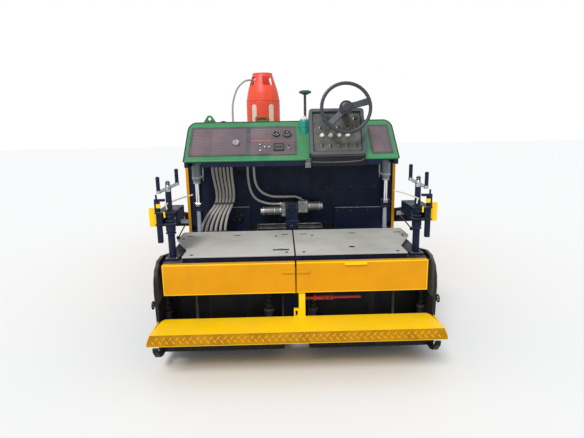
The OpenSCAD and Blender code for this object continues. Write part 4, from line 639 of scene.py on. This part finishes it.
screws = atAll(turned([(11, -2), (11, 1.2), (8, 2.6), (7, 1.4), (2.5, 1.4)], 20), deckBits["screws"], top)
slots = [(x, deckBits["slotY"]) for x in deckBits["slots"]]
onDeck("deckScrews", screws, "blackPlastic")
onDeck("deckSlotRims", atAll(frameOf(-29, -15, 29, 15, 6, 3.4, -1, 1.4), slots, top), "deckGrey", 0.5)
x0, y0, x1, y1 = deckBits["hatch"]
# black linings on the inner walls of the slots, the hatch's gap and the round hole: painted shade that
# darkens the openings
shadeLinings = atAll(frameOf(-25.2, -11.2, 25.2, 11.2, 1, 2.4, -9, 0.6), slots, top)
shadeLinings.append(frameOf(x0 - 0.2, y0 - 30.2, x1 + 0.2, y0 - 3.8, 1, 5, top - 9, top + 0.6))
shadeLinings.append(moved(turned([(19.5, -9), (23.2, -9), (23.2, 0.6), (19.5, 0.6)], 36, True), *hole))
onDeck("deckLinings", shadeLinings, "blackPlastic")
grip = tube([(x0 + 34, y0 + 4, top + 6), (x0 + 74, y0 + 4, top + 6)], 4)
onDeck("deckHatch", [plate(x0, y0, x1, y1, 4, top - 1, top + 2.5), grip], "deckGrey", 1)
onDeck("deckHoleRim", moved(turned(oval(24, 0.6, 3.4, 1.6, 8), 36, True), *hole), "deckGrey")
print("deck details made")

# crank posts: silver bars, ribbed grips, nuts, pointers, thin rods, caps and paint marks
posts = dict(x=800, y=430, bar=1140, half=65, grip=12.6, drop=20, swing=(40, -57),  # left, right
             pointers=((-816, 390, 1040, -690, 640, 1061), (794, 390, 1046, 700, 640, 1063)),
             rods=((-764, 690, 842, -785, 548, 784), (764, 690, 872, 803, 548, 812)))
wide = posts["grip"]
grip = [(6, 6), (wide, 8)] + [(wide - 1.2 * (k % 2), 12 + 7 * k) for k in range(11)]
grip = turned(grip + [(wide, 90), (9, 96.5), (4, 97.5)], 24)
knob = turned([(4, -12), (11, -9), (13, 0), (11, 9), (4, 12)], 20)
for side, sign, swing, pointer, rod in zip(
        ("left", "right"), (-1, 1), posts["swing"], posts["pointers"], posts["rods"]):
    body = side + "_crank_body"
    base = frameAt(sign * posts["x"], posts["y"], posts["bar"], 0, swing)
    ends = [np.array((k * posts["half"], 0, -k * sign * posts["drop"])) for k in (-1, 1)]
    bar = [tube([ends[0] * 1.15, ends[1] * 1.15], 10.5, 18)]
    bar.append(turned([(20, -22), (20, -4), (17, 0), (17, 14), (13, 20)], 28))
    bar += [moved(turned([(14, -9), (14, 9), (10, 11)], 20), *end) for end in ends]
    nut = turned([(15, 22), (15, 34), (12, 37), (12, 45), (7, 47)], 6)
    add(side + "CrankGrips", [moved(grip, *end) for end in ends], "darkPaint", base, body=body)
    add(side + "CrankBar", bar, "zincSteel", base, 0.8, body=body)
    add(side + "CrankNut", nut, "paleSteel", base, 1, body=body)
    start, end = np.array(pointer, float).reshape(2, 3)
    share = np.linspace(0, 1, 9)[:, None]  # straight from start to end, with a half wave of 5 mm upward
    line = start + share * (end - start) + np.sin(math.pi * share) * (0, 0, 5)
    foot = [start - (sign * 12, 6, 30), start - (sign * 8, 4, 4), start]
    onDeck(side + "Pointer", [tube(line, 5, 10), tube(foot, 4.5, 10)], "creamPaint")
    start, end = rod[:3], rod[3:]
    tag = moved(plate(-34, -3, 34, 3, 1, -14, 14), start[0], start[1], start[2] + 24, 0, sign * 18)
    stay = tube([np.add(start, (0, 0, 30)), (sign * 764, 668, 912)], 4, 10)
    onDeck(side + "PostRod", [tube([start, end], 4.5, 12), moved(knob, *end)], "blackPaint")
    onDeck(side + "PostPlate", [tag, stay], "paleSteel", 0.8)
rings = [turned([(24, z), (33, z + 1), (33, z + 9), (24, z + 10)], 36) for z in (842, 902, 922)]
rings.append(turned([(33, 954), (36, 956), (36, 964), (33, 966)], 36))
bolts = atAll(bolt(6, 6), [(x, y) for x in (-32, 32) for y in (-32, 32)], 683.7)
caps = [plate(881, 446, 939, 452.6, 2, 886, 1006), plate(881, 452, 939, 470, 2, 1005.6, 1007)]
marks = [moved(plate(-16, 0, 14, 26, 3, 0, 1.6), 866, 415.8, 1014, 90),
         moved(plate(-5, -18, 5, 20, 3, 0, 1.6), 823, 384.6, 975, 90)]
addPair("PostRings", moved(rings, posts["x"], posts["y"]), "darkPaint", 1, "screed")
addPair("PostBolts", moved(bolts, posts["x"], posts["y"]), "zincSteel", 0, "screed")
addPair("ArmCap", caps, "boardYellow", 0.8, "screed")
addPair("PaintMarks", marks, "boardYellow", 0, "screed")
print("post details made")

# gas bottle: cream inlays, seam, cradle ring, bracket and regulator
bottle = dict(x=-230, y=1750, base=1395, radius=149, middle=-90, half=30, wide=45, collar=510)
radius = bottle["radius"]
base = frameAt(bottle["x"], bottle["y"], bottle["base"])
# an inlay's outer and inner sheet: rows at five heights round the bottle, narrower towards the top
rows = np.array(((26, 1), (286, 1), (296, 0.82), (302, 0.45), (304, 0.1)))
level, share = rows.T[:, None, :, None]
reach = np.array((radius + 1.8, radius - 4))[:, None, None]
inlays = []
for sign in (-1, 1):
    angle = share * bottle["wide"] / 2 / radius * np.linspace(-1, 1, 9)
    angle = angle + math.radians(bottle["middle"] + sign * bottle["half"])
    parts = np.broadcast_arrays(reach * np.cos(angle), reach * np.sin(angle), level)
    points = np.stack(parts, -1).reshape(-1, 3)
    cells = [9 * row + k for row in range(4) for k in range(8)]
    faces = [[a, a + 1, a + 10, a + 9] for a in cells] + [[a + 45, a + 54, a + 55, a + 46] for a in cells]
    rim = [*range(9), 17, 26, 35, *range(44, 35, -1), 27, 18, 9]
    faces += [[after, before, before + 45, after + 45] for before, after in zip(rim, rim[1:] + rim[:1])]
    inlays.append((points, faces))
seam = [(radius - 2, 334), (radius + 1.2, 335), (radius + 1.2, 341), (radius - 2, 342)]
cradle = [(radius + 3, 0), (radius + 16, 0), (radius + 16, 16), (radius + 11, 22), (radius + 3, 22)]
bracket = [frameOf(-54, 0, 54, 199, 10, 12, -5, 5), plate(-54, 150, 54, 166, 0, -4, 4)]
valve = frameAt(bottle["x"], bottle["y"], bottle["base"] + bottle["collar"], 0, 27)
outlet = turned([(7, 0), (13, 2), (13, 14), (9, 18), (9, 26)], 6)
hand = turned([(22, 24), (26, 26), (26, 34), (20, 38), (6, 39)], 24, wave=1.2, waves=8)
add("bottleInlays", inlays, "creamPaint", base)
add("bottleSeam", turned(seam, 96, True), "bottleRed", base)
add("bottleCradle", turned(cradle, 96, True), "machineGreen", base, 1)
add("bottleBracket", moved(bracket, -12, -radius - 12, tip=90), "machineGreen", base, 1.5)
add("bottleRegulator", [moved(outlet, 0, -2, 22), moved(hand, z=12)], "zincSteel", valve)
print("bottle details made")

# travel lever: round plate, rod, dome's cap and ring
lever = dict(y=1128, parts=(  # piece, look, slot, across, sides, profile
    ("leverPlate", "blackPlastic", "lever_plastic", 116, 64, (
        (12, 1742), (40, 1753), (47, 1756), (48, 1761), (46, 1767), (30, 1774.5), (4, 1775.5))),
    ("leverRod", "rustyBolt", "plain_steel", 114, 24, ((10, 1574), (10, 1744), (13, 1748))),
    ("leverDomeCap", "creamPlastic", "lever_plastic", 108, 48, (
        (35, 1558), (30, 1567), (20, 1575), (14, 1578.5), (14, 1584), (11, 1586))),
    ("leverDomeRing", "tealPlastic", "lever_plastic", 108, 56, (
        (42.5, 1500), (45, 1502), (45, 1510), (42.5, 1512)))))
for name, look, slot, x, sides, profile in lever["parts"]:
    add(name, moved(turned(profile, sides), x, lever["y"]), look)
print("travel lever made")

# lift cylinders: glands, pipes with their nuts, and the pale link tubes below them
lift = dict(x=730, y=1036, low=1091, barrel=33, ports=(1243, 1141))
y, low, inner = lift["y"], lift["low"], lift["x"] - lift["barrel"]
gland = [(16, low - 2), (26, low - 2), (27.5, low + 2), (27.5, low + 9), (22, low + 12), (16, low + 12)]
glands = [turned(gland, 48, True), turned([(33, 1128), (35, 1130), (35, 1140), (33, 1142)], 48),
          turned([(33, 1296), (35.5, 1298), (35.5, 1306), (33, 1307)], 48)]
pipe = [(inner - out, y, z) for out, z in (
    (1, 1243), (8, 1243), (13, 1240.5), (16, 1234), (16, 1190), (16, 1152), (15, 1146), (11, 1141.5),
    (1, 1141))]
nut = crossways(turned([(9.5, -2), (9.5, 7), (8, 9)], 6))
nuts = [moved(nut, inner, y, z, turn=180) for z in lift["ports"]]
link = [turned([(15.8, 636), (15.8, 872), (17.5, 874), (17.5, 884)], 32),
        turned([(19, 716), (19, 724), (16, 726)], 6)]
addPair("LiftGland", moved(glands, lift["x"], y), "paleSteel", 0, "{}_lift_barrel_body")
addPair("LiftPipe", [tube(pipe, 6.6, 14)] + nuts, "paleSteel", 0, "{}_lift_barrel_body")
addPair("LiftLink", moved(link, lift["x"], y), "paleSteel", 0, "screed")
print("lift details made")


# hose fittings, the strap round the screed's hoses, and the gas hose's grommet
def ferrule(radius):
    nut = turned([(radius * 1.5, -1), (radius * 1.5, radius * 1.3), (radius * 1.3, radius * 1.5)], 6)
    shares = ((1.02, 1.4), (1.28, 1.5), (1.28, 2.1), (1.2, 2.2), (1.2, 2.6), (1.28, 2.7), (1.28, 3.6),
              (1.02, 3.8))
    return joined([nut, turned([(radius * wide, radius * high) for wide, high in shares], 24)])


fittings = [along(ferrule(8), *gasRoute[:2])]
for routes, radius in ((screedRoutes, 11), (augerRoutes, 10)):
    for route in routes:
        fittings += [along(ferrule(radius), *ends) for ends in (route[:2], route[:-3:-1])]
grommet = turned([(18, 0), (18, 4), (12, 12), (9, 13)], 32)
add("hoseFittings", fittings, "zincSteel")
add("hoseGrommet", moved(grommet, *gasRoute[-1]), "blackPlastic")
add("hoseStrap", frameOf(-633, 1168, -466, 1197, 12, 2.5, 898, 914), "wornPlastic", bevel=0.6)
print("hose fittings made")

# auger drive: motor caps and rings, flange bolts and the gearcase covers
drive = dict(y=1225, motors=(("left", 826), ("right", 862)), flange=(
    (-70, 800), (-70, 882), (-62, 842), (64, 830), (116, 830), (116, 896), (64, 896)))
y = drive["y"]
metal = atRear(bolt(6, 5), 1180.2, drive["flange"])
rings = ([(36, 136), (39, 138), (39, 146), (36, 148)], [(36, 84), (41, 86), (41, 96), (36, 98)],
         [(36, 222), (38.5, 224), (38.5, 236), (31, 240), (31, 252), (28, 254.5), (10, 255)])
capBolt = turned([(5, 252), (5, 257), (4, 258)], 6)
for side, z in drive["motors"]:
    motor = [crossways(turned(profile, 48), 0, y, z) for profile in rings]
    for angle in np.radians(30 + 60 * np.arange(6)):
        motor.append(crossways(capBolt, 0, y + 20 * math.cos(angle), z + 20 * math.sin(angle)))
    metal.append(onSide(side, motor))
covers = [upright(-42, 668, 42, 752, 8, 1090, 8), upright(-46, 856, 46, 892, 6, 1139.5, 10),
          upright(-60, 748, 60, 768, 5, 1092, 12)]
covers.append(moved(turned([(26, 0), (26, 8), (20, 13), (6, 14)], 40), 0, 1082.5, 710, 90))
bolts = []
for half, y, heights, head in (
        (34, 1082.3, (676, 744), bolt(5.5, 5)), (38, 1129.8, (864, 884), bolt(5.5, 5)),
        (98, 1279.8, (736, 800, 864), bolt(7, 6))):
    bolts += atRear(head, y, [(x, z) for x in (-half, half) for z in heights])
add("motorDetails", metal, "zincSteel", bevel=0.6)
add("driveCovers", covers, "darkPaint", bevel=1.5)
add("driveBolts", bolts, "rustyBolt")
print("auger drive details made")

# bulkhead: bolt rows, stiffening ribs, the lower plates' edges and ports
bulkhead = dict(face=1301, plates=((-560, -350, 848), (365, 780, 828)),  # left, right, top
                plateBolts=((820, (-545, -455, -365)), (806, (385, 500, 640, 765))),
                plugs=((-455, 775), (-420, 775), (-437, 742), (-480, 735)),
                ports=((-172, 775), (166, 775), (-420, 1120)))
face = bulkhead["face"]
upper = (-770, -200, -100, 0, 100, 200, 300, 400, 500, 600, 700)
lower = [x for x in upper if abs(x) > 130]
bolts = atRear(bolt(6, 5), face - 0.6, [(x, 1205) for x in upper] + [(x, 1005) for x in lower])
for z, places in bulkhead["plateBolts"]:
    bolts += atRear(bolt(6, 5), 1286.4, [(x, z) for x in places])
ribs = [upright(*corners, 3, face, 9) for corners in (
    (-196, 880, -174, 1210), (176, 880, 198, 1210), (-196, 872, -130, 894), (132, 872, 198, 894))]
edges = [upright(x0, high, x1, high + 5, 1, face + 1, 17) for x0, x1, high in bulkhead["plates"]]
plug = [(19, 0), (19, 12), (14, 16), (14, 24), (9, 27)]
ports = atRear(turned(plug, 28), 1287, bulkhead["plugs"][::2])
ports += atRear(turned(plug, 6), 1287, bulkhead["plugs"][1::2])
ports += atRear(turned([(16, 0), (16, 20), (11, 24)], 28), face, bulkhead["ports"])
ports.append(upright(-440, 1088, -400, 1150, 6, face, 14))
add("bulkheadBolts", bolts, "rustyBolt")
add("plateEdges", edges, "paleSteel", bevel=0.8)
add("bulkheadRibs", ribs, "darkPaint", bevel=1.5)
add("bulkheadPorts", ports, "blackPaint", bevel=1)
print("bulkhead details made")

# screed extensions: springs, studs, guide plates and edge bolts
extension = dict(
    adjusters=(("left", (179, 852)), ("right", (112, 841))), adjusterY=396, studY=470, studs=(672, 400, 440),
    thinRod=(-337, 380, 470), gate=882, turns=5,
    bolts=((300, 520), (300, 380), (560, 520), (560, 380), (860, 420), (860, 240), (1010, 240), (1010, 400),
           (620, 200), (760, 200)))
gate, y = extension["gate"], extension["adjusterY"]
outward = "{}_extension_body"
angle = np.linspace(0, extension["turns"] * 2 * math.pi, 90)  # the spring climbs evenly round a circle
helix = np.column_stack([21 * np.cos(angle), 21 * np.sin(angle), np.linspace(322, 500, 90)])
nut, washer = turned([(24, 0), (24, 12), (20, 14)], 6), turned([(29, 314), (29, 318), (27, 320)], 40)
stack = [moved(nut, z=504), moved(nut, z=528), washer]
for side, places in extension["adjusters"]:
    springs = [tube(helix + (x, y, 0), 4, 8) for x in places]
    nuts = [moved(stack, x, y) for x in places]
    add(side + "Springs", onSide(side, springs), "blackPaint", body=outward.format(side))
    add(side + "SpringNuts", onSide(side, nuts), "rustyBolt", bevel=1, body=outward.format(side))
x, low, high = extension["studs"]
stud = turned([(11, low - 236), (11, low), (8, low + 4), (8, high), (5, high + 4)], 20)
guide = [plate(gate + 1, 378, gate + 61, 472, 5, 204, 214),
         sidePlate(rounded(378, 214, 472, 287, 5), gate - 0.4, 9.6)]
guide += [moved(bolt(8, 7), gate + 36, y, 214) for y in (400, 450)]
bolts = [crossways(bolt(8, 6), gate, y, z) for y, z in extension["bolts"]]
bolts += [crossways(bolt(11, 8), gate, y, 400) for y in (690, 910)]
addPair("SoleStud", moved(stud, x, extension["studY"]), "oldBolt", 0, outward)
addPair("GatePlate", guide, "paleSteel", 1, outward)
addPair("GateBolts", bolts, "rustyBolt", 0, outward)
x, low, high = extension["thinRod"]
rod = moved(turned([(5, low - 216), (5, high)], 14), x, extension["studY"])
add("soleRod", rod, "blackPaint", body="left_extension_body")
print("extension details made")

# rear panels: bright rims and a latch bar; worn steel inside the gates; the lever's sleeve
rims = dict(panel=(5, 831, 482, 680), face=260, bar=(305.4, 661.4, 444.6, 674.6), barDeep=14.6, gate=861.2,
            lining=((232, 440), (352, 440), (352, 660), (318, 676), (266, 640), (240, 588), (230, 520)),
            sleeve=(204, 345, 412), holes=(186, 219))
x0, x1, z0, z1 = rims["panel"]
edges = ((x0, z1 - 7, x1, z1 + 0.8), (x1 - 5, z0, x1 + 0.6, z1 - 7), (x0, z0 - 0.6, x1 - 5, z0 + 4))
strips = [moved(plate(*edge, 0, -0.3, 1), 0, rims["face"], 0, 90) for edge in edges]
bar = upright(*rims["bar"], 2, rims["face"], rims["barDeep"])
for side, shapes in (("left", strips), ("right", strips + [bar])):
    add(side + "PanelRims", onSide(side, shapes), "boardYellow", body=outward.format(side))
addPair("GateLining", sidePlate(rims["lining"], rims["gate"], 1), "plainSteel", 0, outward)
x, y, z = rims["sleeve"]
hole = turned([(7, -2), (7, 1), (5, 1.4)], 20)
onDeck("leverSleeve", crossways(turned([(15, 0), (16.4, 1), (16.4, 38), (12, 42)], 28), x, y, z), "leverRed")
onDeck("leverHoles", atRear(hole, y - 16, [(x, z) for x in rims["holes"]]), "blackPlastic")
print("rear panels' rims made")

# tractor sides: louvre hoods, door latches, hub bolts, axle caps and tow pins
sides = dict(body=860, sprocket=(1720, 280), idler=(3180, 280), rollers=(1970, 2930, 5), rollerZ=123.5,
             louvres=7, towPin=(2450, 500), hubBolts=10, lowBolts=(1320, 1620, 1920, 2220, 2500),
             highBolts=(1420, 1700, 1980, 2260, 2500))
x = sides["body"]
blade = slab([(0, 18), (-0.5, 14), (7.5, 1), (9, 2)], -284, 0)
blades = [moved(blade, x, 2048, 1040 + 38 * k, 90) for k in range(sides["louvres"])]
latch = [moved(plate(0, 0, 5, 110, 2, -46, 0), x, 1646, 1130, 90),
         moved(plate(4, 22, 17, 96, 4, -20, 0), x, 1659, 1130, 90),
         crossways(turned([(7, 4), (7, 9), (5, 10)], 24), x, 1669, 1140)]
y, z = sides["sprocket"]
hubs = [crossways(turned([(52, 0), (52, 10), (44, 16), (30, 17)], 48), 723, y, z)]
for angle in np.arange(sides["hubBolts"]) * 2 * math.pi / sides["hubBolts"]:
    hubs.append(crossways(bolt(10, 8), 723, y + 92 * math.cos(angle), z + 92 * math.sin(angle)))
hubs.append(crossways(turned([(40, 0), (40, 10), (32, 15), (8, 16)], 40), 713, *sides["idler"]))
rollerCap = turned([(30, 0), (30, 7), (24, 11), (8, 12)], 32)
hubs += [crossways(rollerCap, 730, y, sides["rollerZ"]) for y in np.linspace(*sides["rollers"])]
y, z = sides["towPin"]
pin = [crossways(turned([(40, 0), (40, 5), (34, 8)], 40), 947, y, z), crossways(bolt(12, 10), 953, y, z)]
places = [(y, 690) for y in sides["lowBolts"]] + [(y, 1372) for y in sides["highBolts"]]
edge = [crossways(bolt(7, 5), x, y, z) for y, z in places]
addPair("Louvres", blades, "bodyYellow", 0.6, "{}_engine_door_body")
addPair("DoorLatch", latch, "blackPlastic", 1.2, "{}_engine_door_body")
addPair("HubBolts", hubs, "darkPaint", 0.8)
addPair("TowPinCap", pin, "zincSteel", 0.8)
addPair("SideBolts", edge, "zincSteel")
print("tractor side details made")

# engine cover's top: service lid, vent slats, handle, latches, hinges and filler cap
cover = dict(top=1398, lid=(-780, 1990, 780, 2505, 26), slats=(2080, 2368, 32), filler=(640, 1720, 1395),
             latches=((-690, 2488), (690, 2488)), hinges=((-600, 1988), (0, 1988), (600, 1988)),
             handle=((40, 0), (40, 26), (46, 34), (54, 36), (166, 36), (174, 34), (180, 26), (180, 0)))
top = cover["top"]
slats = [plate(-640, y, -240, y + 16, 7, top, top + 7) for y in range(*cover["slats"])]
latch = [plate(-16, -30, 16, 30, 5, 0, 7), moved(turned([(9, 6), (9, 12), (7, 13)], 24), 0, -12)]
hinge = tube([(-36, 0, 0), (36, 0, 0)], 6, 12)
fittings = atAll(latch, cover["latches"], top) + atAll(hinge, cover["hinges"], top + 2)
filler = [(46, 0), (46, 8), (38, 10), (38, 16), (42, 18), (42, 36), (38, 40), (12, 41)]
add("serviceLid", plate(*cover["lid"], top - 4, top + 0.5), "bodyYellow", bevel=1.5)
add("lidSlats", slats, "blackPaint", bevel=1.5)
add("lidHandle", tube([(x, 2470, top + up) for x, up in cover["handle"]], 6, 12), "blackPaint")
add("lidFittings", fittings, "zincSteel", bevel=0.8)
add("fillerCap", moved(turned(filler, 48, wave=0.6, waves=16), *cover["filler"]), "blackPlastic")
print("cover details made")

# conveyor chains' links, and the push rollers' bearing bolts
conveyor = dict(rows=(1440, 3960, 84), low=413, plates=(308, 329), rollerBolt=(604, 4480, 450))
low = conveyor["low"]
places = [(x, y) for y in range(*conveyor["rows"]) for x in conveyor["plates"]]
links = [sidePlate(rounded(y, low, y + 62, low + 14), x, 7) for x, y in places]
ear = crossways(bolt(14, 9), *conveyor["rollerBolt"])
add("chainLinks", links + [mirrored(links)], "rustyBolt")
add("rollerBolts", [ear, mirrored(ear)], "rustyBolt")
print("conveyor details made")

# floor, sun and sky; the sky is plain white where the camera or the glass sees it
studio = dict(half=30, floor=(0.8, 0.8, 0.79, 1), sky=(0.95, 0.97, 1, 1), skyStrength=0.75, sunStrength=2,
              sunAngle=0.35, sunTurn=(38, -18, 0))
floor = bpy.data.meshes.new("floor")
half = studio["half"]
corners = [(-half, -half, 0), (half, -half, 0), (half, half, 0), (-half, half, 0)]
floor.from_pydata(corners, [], [(0, 1, 2, 3)])
addObject("floor", floor)
material, tree, surface, place = startMaterial("floorPale")
setInputs(tree, surface, {"Base Color": studio["floor"], "Roughness": 0.9})
floor.materials.append(material)
sun = addObject("sun", bpy.data.lights.new("sun", "SUN"))
sun.data.energy = studio["sunStrength"]
sun.data.angle = studio["sunAngle"]
sun.rotation_euler = [math.radians(angle) for angle in studio["sunTurn"]]
world = bpy.data.worlds.new("sky")
bpy.context.scene.world = world
world.use_nodes = True
tree = world.node_tree
light = tree.nodes["Background"]
setInputs(tree, light, {"Color": studio["sky"], "Strength": studio["skyStrength"]})
seen = addNode(tree, "Background", {"Color": (1, 1, 1, 1)})
path = addNode(tree, "LightPath").outputs
rays = addNode(tree, "Math", {0: path["Is Camera Ray"], 1: path["Is Transmission Ray"]}, operation="MAXIMUM")
mix = addNode(tree, "MixShader", {0: rays.outputs[0], 1: light.outputs[0], 2: seen.outputs[0]})
setInputs(tree, tree.nodes["World Output"], {"Surface": mix.outputs[0]})
bpy.context.scene.view_settings.view_transform = "Standard"
print("studio made")
